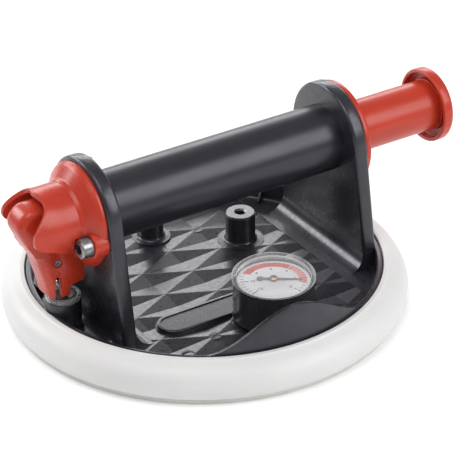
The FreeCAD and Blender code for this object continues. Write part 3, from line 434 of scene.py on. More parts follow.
def make_finishes(colours):
    """All materials of the object, by plain name."""
    made = {key: plain_finish(*row) for key, row in PLAIN_FINISHES.items()}
    for key, name, tone, dark, light in (("dial_red", "dial_red_print", colours.dial_red, 0.95, 1.05),
                                         ("dial_pink", "dial_pale_print", colours.dial_pink, 0.97, 1.03)):
        made[key] = plain_finish(name, tone, 0.5, 0.0, (1.0,), (dark, light), None, None, (0.3,), (0.004, 0.2))
    coat = Finish("black_powder_coat", colours.casting, 0.34, Coat_Weight=0.35, Coat_Roughness=0.2, **BLUISH)
    coat.shade(coat.noise(9.0), 0.8, 1.35).gloss(coat.noise(2.2, 2.0), 0.26, 0.42)
    coat.bump(coat.noise(1.8, 1.0), 0.08, 0.45).bump(coat.noise(0.7, 1.0), 0.03, 0.5)
    barrel = Finish("black_handle_tube", colours.barrel, 0.33, Coat_Weight=0.15, Coat_Roughness=0.25, **BLUISH)
    barrel.shade(barrel.noise(14.0, along=0.2), 0.85, 1.25).gloss(barrel.noise(3.0, 4.0, 0.25), 0.29, 0.38)
    barrel.bump(barrel.noise(0.5, 2.0, 0.15), 0.02, 0.35)
    red = Finish("red_moulding", colours.red, 0.33, Coat_Weight=0.1, Coat_Roughness=0.22, Specular_IOR_Level=0.4)
    red.shade(red.noise(11.0), 0.93, 1.07).gloss(red.noise(1.5), 0.25, 0.34)
    red.bump(red.noise(0.55, 2.0), 0.03, 0.35).bump(red.noise(7.0, 1.0), 0.08, 0.2)
    tube = Finish("red_plunger_tube", colours.red, 0.32, Coat_Weight=0.1, Coat_Roughness=0.25, Specular_IOR_Level=0.4)
    tube.shade(tube.noise(6.0, along=0.15), 0.92, 1.08).gloss(tube.noise(1.2, along=0.1), 0.29, 0.38)
    tube.bump(tube.noise(0.35, 2.0, 0.05), 0.012, 0.4)
    ring = Finish("off_white_rubber", colours.ring, 0.42, Subsurface_Weight=0.12, Subsurface_Scale=0.002,
                  Specular_IOR_Level=0.45)
    ring.shade(ring.noise(25.0), 0.975, 1.02).gloss(ring.noise(5.0), 0.38, 0.48).bump(ring.noise(0.8), 0.025, 0.3)
    lip = Finish("lip_rubber", colours.lip, 0.5, Subsurface_Weight=0.08, Subsurface_Scale=0.001)
    lip.shade(lip.noise(12.0), 0.95, 1.04).bump(lip.noise(0.6), 0.03, 0.3)
    case = Finish("gauge_case_black", (0.032, 0.032, 0.038), 0.26, Coat_Weight=0.5, Coat_Roughness=0.14)
    case.shade(case.noise(5.0), 0.85, 1.2).gloss(case.noise(2.5, 2.0), 0.22, 0.32)
    case.bump(case.noise(1.5, 1.0), 0.02, 0.2)
    felt = Finish("felt_grey", (0.25, 0.25, 0.24), 0.95, Sheen_Weight=0.3)
    felt.shade(felt.noise(0.5, 5.0), 0.6, 1.3).bump(felt.noise(0.25, 5.0), 0.1, 0.8)
    made.update(coat=coat, barrel=barrel, red=red, tube=tube, ring=ring, lip=lip, case=case, felt=felt,
                lens=clear_finish("clear_lens_plastic", 0.08, 0.85, 0.05),
                bezel=clear_finish("clear_ring_plastic", 0.12, 0.85, 0.08))
    FINISHES.update({key: finish.material for key, finish in made.items()})


def clear_finish(name, facing, grazing, roughness):
    """Clear plastic: nearly unseen face on, whiter and glossier where it turns away."""
    clear = Finish(name, (0.92, 0.92, 0.94), roughness, Specular_IOR_Level=1.0)
    weight = clear.tree.nodes.new("ShaderNodeLayerWeight")
    weight.inputs["Blend"].default_value = 0.5
    clear.tree.links.new(clear.ranged(weight.outputs["Facing"], facing, grazing, 0.45, 0.92),
                         clear.shader.inputs["Alpha"])
    clear.bump(clear.noise(6.0, 1.0), 0.01, 0.15)
    return clear


# ---- the base casting ----
def side_slope():
    """Lean of an upright's sides from the vertical, and the y and z where a side meets the round top."""
    reach = math.hypot(UPRIGHT_FOOT, HANDLE_Z - FLOOR)
    lean = math.atan2(FLOOR - HANDLE_Z, UPRIGHT_FOOT) + math.acos(UPRIGHT_TOP_R / reach)
    touch_y = UPRIGHT_TOP_R * math.cos(lean)
    touch_z = HANDLE_Z + UPRIGHT_TOP_R * math.sin(lean)
    return lean, touch_y, touch_z


def floor_tray():
    """Rim, floor ring and retaining flange in one turned piece, with the bores of its underside."""
    profile = softened([(0, 5), (94, 5, 0.6), (94, 8, 0.6), (RIM_OUT, 8), (RIM_OUT, RIM_TOP, 0.9),
                        (RIM_IN, RIM_TOP, 0.9), (RIM_IN, FLOOR, 1.8), (83.5, FLOOR), (83.5, PIT_FLOOR),
                        (0, PIT_FLOOR)])
    tray = turned("cast_base", profile, steps=144)
    for radius, x, y, depth in ((4.65, -65.0, 0.0, 1.2), (5.6, VALVE[0], 0.0, 2.6), (4.85, GAUGE[0], GAUGE[1], 2.6)):
        cut(tray, rod(radius, (x, y, 4.0), (0, 0, 1), depth + 1.0))
    return tray


def facet_field(sizes):
    """Floor of four-sided pits: a diamond grid, inset for the ridges, each face poked downwards."""
    idle()
    cells = 11
    bpy.ops.mesh.primitive_grid_add(x_subdivisions=cells, y_subdivisions=cells, size=cells * math.sqrt(2),
                                    rotation=(0, 0, math.pi / 4))
    field = bpy.context.object
    bpy.ops.object.transform_apply()
    field.scale = (sizes.facet_x, sizes.facet_y, 1.0)
    bpy.ops.object.transform_apply()
    edit(field)
    bpy.ops.transform.translate(value=Vector((FACETS[0], FACETS[1], FLOOR)) * MM)
    bpy.ops.mesh.inset(thickness=sizes.ridge / 2, use_individual=True)
    bpy.ops.mesh.poke(offset=-sizes.facet_depth)
    idle()
    sides = 64
    for k in range(sides):
        turn = math.tau * k / sides
        way = (math.cos(turn), math.sin(turn), 0)
        trim(field, (83.7 * way[0], 83.7 * way[1], 0), way, fill=False)
    for side in (-1, 1):
        trim(field, (side * FACETS_END, 0, 0), (side, 0, 0), fill=False)
    edit(field)
    bpy.ops.mesh.select_all(action="DESELECT")
    bpy.ops.mesh.select_non_manifold(extend=False)
    bpy.ops.mesh.extrude_edges_move(TRANSFORM_OT_translate={"value": (0, 0, -0.5 * MM)})
    bpy.ops.transform.resize(value=(1, 1, 0), center_override=(0, 0, (PIT_FLOOR - 0.2) * MM))
    bpy.ops.mesh.edge_face_add()
    sealed()
    pick(field, "EDGE", lambda e: e.calc_face_angle(0.0) > math.radians(2))
    bpy.ops.mesh.mark_sharp()
    idle()
    return field


def floor_ends():
    """Flat floor beyond the facets, under and outside the uprights."""
    ends = []
    for side in (-1, 1):
        disc = turned("floor_end", [(0, PIT_FLOOR - 0.1), (83.6, PIT_FLOOR - 0.1), (83.6, FLOOR), (0, FLOOR)],
                      steps=144)
        ends.append(trim(disc, (side * FACETS_END, 0, 0), (-side, 0, 0)))
    return ends


def upright(near, far, edge):
    """One upright: the flat outline pulled through its thickness, edges rounded."""
    lean, touch_y, touch_z = side_slope()
    low = FLOOR - 1.0
    foot_y = touch_y + (touch_z - low) * math.tan(lean)
    top = arc((0.0, HANDLE_Z), UPRIGHT_TOP_R, math.degrees(lean), 180 - math.degrees(lean), 44)
    outline = [(near, -foot_y, low), (near, foot_y, low)] + [(near, y, z) for y, z in top]
    plate = block("upright", outline, (far - near, 0, 0))
    return rounded(plate, edge / MM, 4, 50.0)


def foot(x, side, radius):
    """Concave fillet where an upright meets the floor; side is the way it runs out along X."""
    curve = arc((x + side * radius, FLOOR + radius), radius, -90, -180 if side > 0 else 0, 10)
    outline = [(px, 0, pz) for px, pz in curve]
    outline += [(x - side, 0, FLOOR + radius), (x - side, 0, FLOOR - 0.5), (x + side * radius, 0, FLOOR - 0.5)]
    bar = block("foot", outline, (0, 90, 0))
    edit(bar)
    bpy.ops.transform.translate(value=(0, -45 * MM, 0))
    idle()
    lean, touch_y, touch_z = side_slope()
    for way in (-1, 1):
        trim(bar, (0, way * (touch_y - 1.2), touch_z), (0, way * math.cos(lean), math.sin(lean)))
        corner = Vector((math.copysign(80.0, x), way * 36.0, 0)).normalized()
        trim(bar, corner * 88.6, corner)
    return bar


def guard(rise):
    """Wave-shaped wall in front of the gauge: its outer face is drawn out step by step along the rim."""
    half, steps, out, lean = 33.0, 44, 88.7, 0.17
    rows = (0.0, 0.35, 0.7, 1.0)
    columns = []
    for i in range(steps + 1):
        share = 0.955 * (2 * i / steps - 1)
        turn = math.radians(GUARD_MIDDLE + share * half)
        height = rise / MM * math.cos(share * math.pi / 2) ** 2
        column = [(out * math.cos(turn), out * math.sin(turn), FLOOR + 2)]
        for row in rows:
            r = out - lean * row * height
            column.append((r * math.cos(turn), r * math.sin(turn), RIM_TOP - 0.4 + row * height))
        columns.append(column)
    wall = sheet_of("guard", columns)
    add_modifier(wall, "SOLIDIFY", thickness=2.8 * MM, offset=-1.0)
    return rounded(wall, 1.0, 3, 50.0)


def sheet_of(name, columns):
    """A surface drawn through columns of points: the first is a line, each next one is pulled out and set."""
    piece = line(name, columns[0], closed=False)
    for before, after in zip(columns, columns[1:]):
        shift = (Vector(after[0]) - Vector(before[0])) * MM
        bpy.ops.mesh.extrude_region_move(TRANSFORM_OT_translate={"value": shift})
        mesh = bmesh.from_edit_mesh(piece.data)
        loose = {v for v in mesh.verts if v.select}
        for old, new in zip(before, after):
            at = Vector(old) * MM + shift
            vertex = min(loose, key=lambda v: (v.co - at).length)
            vertex.co = Vector(new) * MM
            loose.discard(vertex)
        bmesh.update_edit_mesh(piece.data)
    sealed()
    idle()
    return piece


def post(place, radius, flat):
    """Boss for a threaded insert, standing on its own round flat."""
    profile = softened([(0, PIT_FLOOR - 0.1), (flat, PIT_FLOOR - 0.1), (flat, FLOOR + 0.02),
                        (radius, FLOOR + 0.02, 1.8), (radius, 24.0, 0.5), (4.7, 24.0), (4.7, 10.6), (0, 10.6)])
    return turned("post", profile, place, 64)


def valve_boss():
    profile = softened([(0, PIT_FLOOR), (11.0, PIT_FLOOR), (11.0, FLOOR), (8.7, FLOOR, 1.6), (8.7, 25.6, 0.6),
                        (5.6, 25.6), (5.6, 15.0), (3.0, 15.0), (3.0, 13.0), (0, 13.0)])
    return turned("valve_boss", profile, VALVE, 64)


def gusset(angle):
    """Small rib between the floor and the rim wall."""
    outline = [(80.8, 0, FLOOR - 1), (87.0, 0, FLOOR - 1), (87.0, 0, FLOOR + 6.5), (85.4, 0, FLOOR + 6.5),
               (80.8, 0, FLOOR + 1.0)]
    rib = block("rib", outline, (0, 1.3, 0))
    rounded(rib, 0.35, 2, 30.0)
    edit(rib)
    bpy.ops.transform.rotate(value=-math.radians(angle), orient_axis="Z", center_override=(0, 0, 0))
    idle()
    return rib


def capsule(half_width):
    """Outline of the badge's long, round-ended shape."""
    x, y = BADGE
    return arc((x + BADGE_REACH, y), half_width, -90, 90, 24) + arc((x - BADGE_REACH, y), half_width, 90, 270, 24)


def badge():
    """Blank capsule pad on its own flat, clear of the gauge."""
    parts = []
    for half_width, low, high, soft in ((9.0, PIT_FLOOR - 0.1, FLOOR, 0.0), (8.2, FLOOR - 1.0, FLOOR + 1.5, 0.45)):
        pad = block("badge", [(x, y, low) for x, y in capsule(half_width)], (0, 0, high - low))
        parts.append(rounded(pad, soft, 3, 50.0) if soft else pad)
    cut(parts[1], block("recess", [(x, y, FLOOR + 1.0) for x, y in capsule(6.6)], (0, 0, 2.0)))
    return [cut(part, rod(20.4, (GAUGE[0], GAUGE[1], FLOOR + 0.01), (0, 0, 1), 9.0, 96)) for part in parts]


def floor_disc(place, radius, dimple=0.0):
    """Round flat let into the facets, with a shallow dimple if asked."""
    profile = [(0, PIT_FLOOR - 0.1), (radius, PIT_FLOOR - 0.1), (radius, FLOOR)]
    if dimple:
        profile += [(dimple + 0.3, FLOOR), (dimple, FLOOR - 0.3), (dimple - 0.2, FLOOR - 1.1), (0, FLOOR - 1.1)]
    else:
        profile += [(0, FLOOR)]
    return turned("floor_disc", profile, place, 48)


class CUP_OT_base(bpy.types.Operator):
    """Model the base casting: tray, faceted floor, uprights, guard, posts and ribs"""
    bl_idname = "cup.base"
    bl_label = "Base casting"

    def execute(self, context):
        sizes = context.scene.cup_sizes
        parts = [floor_tray(), facet_field(sizes)] + floor_ends()
        parts += [upright(near, far, sizes.edge) for near, far in UPRIGHTS]
        (left_out, left_in), (right_in, right_out) = UPRIGHTS
        parts += [foot(left_in, 1, 9.0), foot(right_in, -1, 9.0), foot(left_out, -1, 5.0), foot(right_out, 1, 5.0)]
        parts.append(guard(sizes.guard_rise))
        parts += [post(*row) for row in POSTS]
        parts.append(valve_boss())
        parts += badge()
        parts += [floor_disc(place, 3.1) for place in PADS]
        parts.append(floor_disc(GAUGE, 21.2))
        parts.append(floor_disc((-43.6, -55.0), 3.6, 2.6))
        for k in range(12):
            angle = 156.8 + 30.0 * k
            if abs((angle - GUARD_MIDDLE + 180) % 360 - 180) > 29:
                parts.append(gusset(angle))
        base = joined("cast_base", parts)
        done(base, "body", "coat", ["base_casting"])
        return {"FINISHED"}


# ---- the soft ring and lip ----
class CUP_OT_seal(bpy.types.Operator):
    """Model the rubber seal ring and the lip under it"""
    bl_idname = "cup.seal"
    bl_label = "Seal ring and lip"

    def execute(self, context):
        outer = smooth_line([(100.2, 3.05), (101.5, 4.9), (102.0, 8.0), (101.7, 10.8), (100.7, 13.4), (99.0, 15.6),
                             (96.8, 17.4), (94.4, 18.7), (92.6, 19.6)], 4)
        profile = outer + softened([(92.6, 19.6), (91.9, 20.35, 0.4), (89.7, 20.35, 0.4), (89.7, 8.05), (94.3, 8.05),
                                    (94.3, 4.95), (82.0, 4.95), (80.0, 3.05)])[1:]
        ring = turned("soft_ring", profile, steps=192)
        done(ring, "body", "ring", ["seal_ring"], 40.0)
        profile = softened([(78.5, 3.0), (78.0, 0.8, 0.4), (79.6, 0.0, 0.5), (98.4, 0.0, 0.6), (99.4, 1.1, 0.6),
                            (99.4, 3.0, 0.5), (97.6, 3.0)])
        lip = turned("soft_lip", profile, steps=192)
        done(lip, "body", "lip", ["seal_lip"], 40.0)
        return {"FINISHED"}


# ---- end cover with its hood ----
HOOD_MOUTH = ((0, -94.0), (26, -92.8), (43, -95.0), (63, -100.7), (75, -103.2), (87, -103.5), (96, -101.0),
              (106, -93.8), (125, -81.6))       # degrees from the top, x of the edge


def hood(wall):
    """Half-round hood: its root arc is pulled out to the S-shaped mouth, then given its wall."""
    root, radius = -77.6, 18.6
    columns = []
    angles = smooth_line([(-a, x) for a, x in reversed(HOOD_MOUTH[1:])] + list(HOOD_MOUTH), 6)
    for angle, mouth in angles:
        turn = math.radians(angle)
        share = min(1.0, max(0.0, -angle / 60.0))
        far = 1.0 - 0.07 * share * share * (3 - 2 * share)
        end = root + (mouth - root) * far
        long = root - end
        rows = ((long, 0.0), (0.7 * long, 0.0), (0.45 * long, 0.0), (min(2.6, 0.35 * long), 0.05),
                (min(1.3, 0.26 * long), 0.3), (0.0, 0.35))
        columns.append([(end + back, -(radius + swell) * math.sin(turn), HANDLE_Z + (radius + swell) * math.cos(turn))
                        for back, swell in rows])
    shell = sheet_of("hood", columns)
    edit(shell)
    bpy.ops.mesh.normals_make_consistent(inside=False)
    idle()
    outward = shell.data.polygons[len(shell.data.polygons) // 2]
    if outward.normal.z < 0:
        edit(shell)
        bpy.ops.mesh.flip_normals()
        idle()
    add_modifier(shell, "SOLIDIFY", thickness=wall, offset=-1.0)
    return rounded(shell, 0.95, 4, 50.0)


class CUP_OT_cover(bpy.types.Operator):
    """Model the end cover: flange, cone, hood, lever lug and screw pads"""
    bl_idname = "cup.cover"
    bl_label = "End cover"

    def execute(self, context):
        sizes = context.scene.cup_sizes
        profile = softened([(-71.3, 0), (-71.3, 16.4), (-78.6, 16.4), (-78.9, 18.75, 0.5), (-76.6, 19.6, 1.6),
                            (-72.6, 24.9, 2.5), (-70.6, 26.3, 1.0), (-68.82, 26.2, 0.3), (-68.82, 14.6),
                            (-57.8, 14.6, 0.5), (-57.8, 11.6), (-68.82, 11.6), (-68.82, 0)], 5)
        cone = turned_x("hood_cover", profile)
        cut(cone, cuboid((-83, -9.3, 30), (-71.2, 9.3, 64.5)))
        shell = hood(sizes.hood_wall)
        parts = [cone, shell]
        for x, y, z in SCREW_PLACES:
            pad = turned_x("pad", softened([(-76.2, 0), (-76.2, 6.5, 0.7), (-68.9, 6.5), (-68.9, 0)]), (y, z), 48)
            parts.append(pad)
            for part in (cone, shell):
                cut(part, rod(5.15, (x + 0.02, y, z), (-1, 0, 0), 6.4))
        lug = arc(PIVOT, 4.4, 90, 270, 16)
        outline = [(px, -2.6, pz) for px, pz in lug] + [(-70.8, -2.6, PIVOT[1] - 4.4), (-70.8, -2.6, PIVOT[1] + 4.4)]
        arm = rounded(block("arm", outline, (0, 5.2, 0)), 0.5, 2, 50.0)
        parts.append(cut(arm, rod(PIN_HOLE_R, (PIVOT[0], -5, PIVOT[1]), (0, 1, 0), 10.0, 32)))
        web = cuboid((-73.5, -2.6, 43.6), (-70.2, 2.6, 54.4))
        parts.append(rounded(web, 0.5, 2, 50.0))
        cover = joined("hood_cover", parts)
        done(cover, "body", "red", ["end_cover"], 32.0)
        return {"FINISHED"}


# ---- release lever ----
LEVER_FRONT = ((-9.5, 32.0), (-15.2, 29.8), (-19.2, 23.5), (-16.3, 15.0), (-10.6, 4.4), (-7.9, -4.6), (-6.0, -11.6),
               (-4.3, -19.2))
LEVER_BACK = ((5.7, -19.2), (5.9, -14.0), (14.0, -12.5), (14.0, -2.0), (12.0, 8.0), (-2.0, 19.0), (-4.5, 32.0))


def lever_points(table, y, shift=0.0):
    return [(PIVOT[0] + x + shift, y, PIVOT[1] + z) for x, z in table]


class CUP_OT_lever(bpy.types.Operator):
    """Model the release lever with its thumb face, hollow, slot and nose"""
    bl_idname = "cup.lever"
    bl_label = "Release lever"

    def execute(self, context):
        sizes = context.scene.cup_sizes
        front = smooth_line(lever_points(LEVER_FRONT, -8.0), 5)
        front_x = [(p[0], p[2]) for p in front]
        lever = block("thumb_lever", front + lever_points(LEVER_BACK, -8.0), (0, 16.0, 0))
        edit(lever)

        def on_front(item):
            at = middle(item)
            near = min(math.hypot(at.x - x, at.z - z) for x, z in front_x)
            along = abs(item.verts[0].co.y - item.verts[1].co.y) < 1e-6
            return along and near < 1.2 and abs(abs(at.y) - 8.0) < 0.01
        pick(lever, "EDGE", on_front)
        bpy.ops.mesh.bevel(offset=sizes.lever_round, segments=5, affect="EDGES", clamp_overlap=False)
        sealed()
        idle()
        crown = rod(13.6, (-130, 0, HANDLE_Z), (1, 0, 0), 90.0, 96)
        crown = cut(crown, cuboid((-131, -21, 10), (-39, 21, HANDLE_Z)), operation="UNION")
        cut(lever, crown, operation="INTERSECT")
        inner = [(x + 2.5, y, z) for x, y, z in front]
        pocket_top = [(x, -5.5, z) for x, _, z in inner if z < 79.0]
        tail = pocket_top[-1]
        pocket = block("pocket", pocket_top + [(tail[0], -5.5, tail[2] - 5), (-56, -5.5, tail[2] - 5),
                                               (-56, -5.5, pocket_top[0][2])], (0, 11.0, 0))
        cut(lever, pocket)
        slot_x = PIVOT[0] - 0.4
        slot = arc((slot_x, PIVOT[1] - 9.0), 1.7, 0, 180, 12)
        outline = [(x, -12, z) for x, z in slot] + [(slot_x + side, -12, PIVOT[1] - 25) for side in (-1.7, 1.7)]
        cut(lever, block("slot", outline, (0, 24, 0)))
        cut(lever, rod(PIN_HOLE_R, (PIVOT[0], -12, PIVOT[1]), (0, 1, 0), 24.0, 32))
        for side in (-1, 1):
            cut(lever, rod(2.4, (PIVOT[0], side * 7.2, PIVOT[1]), (0, side, 0), 2.0, 32))
        edit(lever)
        pick(lever, "EDGE", lambda e: middle(e).z < PIVOT[1] - 19.1 and (abs(middle(e).y) > 7.9 or min(
            abs(middle(e).x - PIVOT[0] - x) for x in (5.7, -4.3)) < 0.3))
        bpy.ops.mesh.bevel(offset=2.4 * MM, segments=5, affect="EDGES", clamp_overlap=True)
        sealed()
        idle()
        rounded(lever, 0.35, 2, 40.0)
        nose = rod(3.0, (VALVE[0], -5.6, PIVOT[1] - 11.0), (0, 1, 0), 11.2, 32)
        rounded(nose, 0.4, 2, 60.0)
        stay = cuboid((VALVE[0] - 1.2, -5.6, PIVOT[1] - 11.0), (VALVE[0] + 1.2, 5.6, PIVOT[1] - 5.6))
        rounded(stay, 0.3, 2, 60.0)
        lever = joined("thumb_lever", [lever, nose, stay])
        done(lever, "lever", "red", ["release_lever"], 32.0)
        return {"FINISHED"}


# ---- plunger, collar and handle ----
class CUP_OT_plunger(bpy.types.Operator):
    """Model the knob with its rolled rim, the guide collar and the soft rings of the pump"""
    bl_idname = "cup.plunger"
    bl_label = "Knob and collar"

    def execute(self, context):
        lip = context.scene.cup_sizes.knob_lip / MM
        back, root = 139.8, 137.8
        rim = 19.3
        profile = softened([(125.6, 0), (125.6, 11.55, 0.5), (135.65, 11.55), (135.65, 13.8, 0.3), (root, 13.8),
                            (root, rim - lip, 0.8), (133.6, rim - lip, 0.7), (133.6, rim, 0.9), (back, rim, 2.0),
                            (back, 17.0), (139.2, 9.0), (138.8, 0)], 5)
        knob = turned_x("pull_knob", profile)
        done(knob, "plunger", "red", ["plunger_knob"])
        profile = softened([(63.3, 13.26), (63.3, 14.6, 0.4), (79.32, 14.6), (79.32, 27.4, 0.4), (82.6, 27.2, 1.4),
                            (83.0, 17.9, 0.6), (84.7, 16.6, 0.6), (84.7, 13.26, 0.3), (83.5, 13.26), (83.5, 15.0),
                            (81.3, 15.0), (81.3, 13.26)], 5)
        collar = turned_x("guide_collar", profile)
        for k in range(3):
            turn = math.radians(-90 + 120 * k)
            y, z = 21.5 * math.cos(turn), HANDLE_Z + 21.5 * math.sin(turn)
            sink = turned_x("sink", [(79, 0), (79, 2.2), (80.6, 2.2), (82.9, 4.4), (90, 4.4), (90, 0)], (y, z), 32)
            cut(collar, sink)
        done(collar, "body", "red", ["pump_collar"])
        wiper = turned_x("wiper_ring", softened([(81.35, 13.72), (82.4, 13.22, 0.2), (83.45, 13.72),
                                                 (83.45, 14.9, 0.2), (81.35, 14.9, 0.2)], 3), steps=64)
        done(wiper, "body", "rubber", ["collar_wiper"])
        cup = turned_x("piston_packing", softened([(55.95, 11.45, 0.2), (59.25, 11.45, 0.2), (59.25, 14.1, 0.2),
                                                   (58.1, 14.4), (56.8, 14.59), (55.95, 14.59, 0.1), (56.4, 13.7),
                                                   (57.3, 12.6, 0.3), (56.2, 12.0)], 3), steps=64)
        done(cup, "plunger", "rubber", ["piston_cup"])
        ring = turned_x("cover_packing", arc((-67.55, 13.875), 0.675, 0, 337.5, 15), steps=64)
        done(ring, "body", "rubber", ["cover_oring"], 60.0)
        return {"FINISHED"}


# ---- cap screws ----
class CUP_OT_screws(bpy.types.Operator):
    """Model the cap screws of the end cover"""
    bl_idname = "cup.screws"
    bl_label = "Cap screws"

    def execute(self, context):
        x, y, z = SCREW_PLACES[0]
        profile = softened([(x - 6.0, 0), (x - 6.0, 3.3), (x - 6.0, 5.0, 0.8), (x - 5.4, 5.0), (x, 5.0, 0.25),
                            (x, 3.0), (x + 12.8, 3.0, 0.4), (x + 12.8, 0)])
        screw = turned_x("cap_screws", profile, (y, z), 72)
        edit(screw)
        pick(screw, "FACE", lambda f: abs((middle(f).yz - Vector((y, z))).length - 5.0) < 0.05
             and abs(f.normal.x) < 0.1 and f.calc_area() > 0.5 * MM * MM)
        bpy.ops.mesh.inset(thickness=0.1 * MM, use_individual=True)
        bpy.ops.mesh.extrude_faces_move(TRANSFORM_OT_shrink_fatten={"value": -0.12 * MM})
        idle()
        socket = rod(2.9, (x - 7, y, z), (1, 0, 0), 4.2, 6)
        cut(screw, socket)
        twin = copied(screw, "cap_screw_far", (0, 2 * abs(y), 0))
        both = joined("cap_screws", [screw, twin])
        done(both, "body", "steel", ["cover_screws"])
        return {"FINISHED"}


# ---- gauge ----
def band(name, inner, outer, start, end, low, high, steps):
    """Flat arc-shaped plate on the dial."""
    ring = arc(GAUGE, outer, start, end, steps) + arc(GAUGE, inner, end, start, steps)
    return block(name, [(x, y, low) for x, y in ring], (0, 0, high - low))


class CUP_OT_gauge(bpy.types.Operator):
    """Model the gauge's dial, its printed scale and the clear cover"""
    bl_idname = "cup.gauge"
    bl_label = "Gauge"

    def execute(self, context):
        low = DIAL_Z
        profile = softened([(1.5, low), (18.1, low, 0.1), (18.1, low + 0.6, 0.15), (1.5, low + 0.6, 0.1)], 2)
        face = turned("dial_face", profile, GAUGE, 96)
        done(face, "body", "dial", ["gauge_dial"])
        top = low + 0.6
        red = band("red_zone", 12.5, 16.2, 26, 124, top - 0.05, top + 0.06, 40)
        done(red, "body", "dial_red", ["gauge_scale"])
        pale = band("pale_zone", 12.5, 16.2, -42, 26, top - 0.05, top + 0.06, 32)
        done(pale, "body", "dial_pink")
        marks = []
        for k in range(31):
            angle = DIAL_START + 9 * k
            major = k % 5 == 0
            half = 0.65 if major else 0.35
            marks.append(band("mark", 12.3 if major else 14.6, 16.4, angle - half, angle + half, top, top + 0.1, 1))
        marks += numbers(top)
        scale = joined("scale_marks", marks)
        done(scale, "body", "ink")
        lens_low = 30.63
        profile = softened([(18.4, lens_low), (20.0, lens_low, 0.2), (20.6, lens_low + 0.8, 0.5),
                            (20.5, lens_low + 2.4, 1.2), (18.2, lens_low + 4.3, 1.6), (15.6, lens_low + 4.4, 0.6),
                            (0, lens_low + 4.4), (0, lens_low + 3.1), (15.4, lens_low + 3.1, 0.8),
                            (18.3, lens_low + 2.4, 0.9), (18.5, lens_low + 1.2, 0.4)], 5)
        lens = turned("clear_lens", profile, GAUGE, 96)
        done(lens, "body", "lens", ["gauge_cover"], 40.0)
        profile = softened([(4.85, 9.05), (8.8, 9.05, 0.2), (8.8, 9.9, 0.2), (4.85, 9.9)], 2)
        washer = turned("stem_washer", profile, GAUGE, 48)
        done(washer, "body", "rubber", ["gauge_seal"])
        return {"FINISHED"}


def numbers(top):
    """Plain figures round the dial."""
    made = []
    for k in range(7):
        angle = math.radians(DIAL_START + 45 * k)
        idle()
        bpy.ops.object.text_add()
        text = bpy.context.object
        text.data.body = str(2 * k)
        text.data.size = 2.6 * MM
        text.data.align_x = "CENTER"
        text.data.align_y = "CENTER"
        text.data.extrude = 0.03 * MM
        bpy.ops.object.convert(target="MESH")
        figure = bpy.context.object
        edit(figure)
        bpy.ops.mesh.remove_doubles(threshold=1e-7)
        bpy.ops.transform.rotate(value=math.radians(40), orient_axis="Z", center_override=(0, 0, 0))
        place = Vector((GAUGE[0] + 10.4 * math.cos(angle), GAUGE[1] + 10.4 * math.sin(angle), top + 0.04))
        bpy.ops.transform.translate(value=place * MM)
        idle()
        made.append(figure)
    return made


# ---- valve ----
class CUP_OT_valve(bpy.types.Operator):
    """Model the valve's clear ring, its washer and the intake felt"""
    bl_idname = "cup.valve"
    bl_label = "Valve trim"

    def execute(self, context):
        profile = softened([(7.75, 25.62), (8.6, 25.62, 0.15), (8.6, 28.0, 0.8), (6.85, 28.0, 0.6), (6.85, 27.27),
                            (7.75, 27.27)], 4)
        bezel = turned("valve_bezel", profile, VALVE, 72)
        done(bezel, "body", "bezel", ["valve_ring"])
        profile = softened([(1.83, 12.02), (4.7, 12.02, 0.15), (4.7, 12.97, 0.15), (1.83, 12.97)], 2)
        washer = turned("poppet_washer", profile, VALVE, 48)
        done(washer, "valve", "rubber", ["valve_seal"])
        profile = softened([(0, 5.02), (4.6, 5.02, 0.2), (4.6, 6.18, 0.2), (0, 6.18)], 2)
        felt = turned("intake_felt", profile, (-65.0, 0.0), 48)
        done(felt, "body", "felt", ["intake_filter"])
        return {"FINISHED"}


# ---- carried-over nodes ----
NODE_FINISHES = {
    "barrel": ("pump_barrel",),
    "coat": ("barrel_pins",),
    "tube": ("plunger_tube",),
    "acetal": ("plunger_plug", "piston", "movement_plate", "valve_cap"),
    "steel": ("piston_screw", "collar_screws", "lever_pin", "valve_stem", "gauge_spindle", "check_ball"),
    "bright": ("threaded_inserts",),
    "spring": ("return_spring", "lever_spring", "valve_spring", "check_spring"),
    "case": ("gauge_case",),
    "brass": ("gauge_stem", "bourdon_tube", "gauge_hub", "check_seat"),
    "pointer": ("gauge_needle",),
}


class CUP_OT_nodes(bpy.types.Operator):
    """Give the carried-over CAD nodes their finishes"""
    bl_idname = "cup.nodes"
    bl_label = "CAD node finishes"

    def execute(self, context):
        for finish, names in NODE_FINISHES.items():
            for name in names:
                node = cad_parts[name]
                node.data.materials.clear()
                node.data.materials.append(FINISHES[finish])
        return {"FINISHED"}


class CUP_OT_finishes(bpy.types.Operator):
    """Make all materials of the cup"""
    bl_idname = "cup.finishes"
    bl_label = "Finishes"

    def execute(self, context):
        make_finishes(context.scene.cup_colours)
        return {"FINISHED"}


# ---- stage ----
CAMERA_TARGET = (10.73007, -0.61985, 40.0)
CAMERA_AZIMUTH, CAMERA_ELEVATION, CAMERA_ROLL = -32.2386, 29.8861, -0.63545
CAMERA_DISTANCE = 1245.10339
CAMERA_LENS, CAMERA_SENSOR = 197.06319, 36.0        # mm
CAMERA_SHIFT = (0.0133973, -0.0195797)


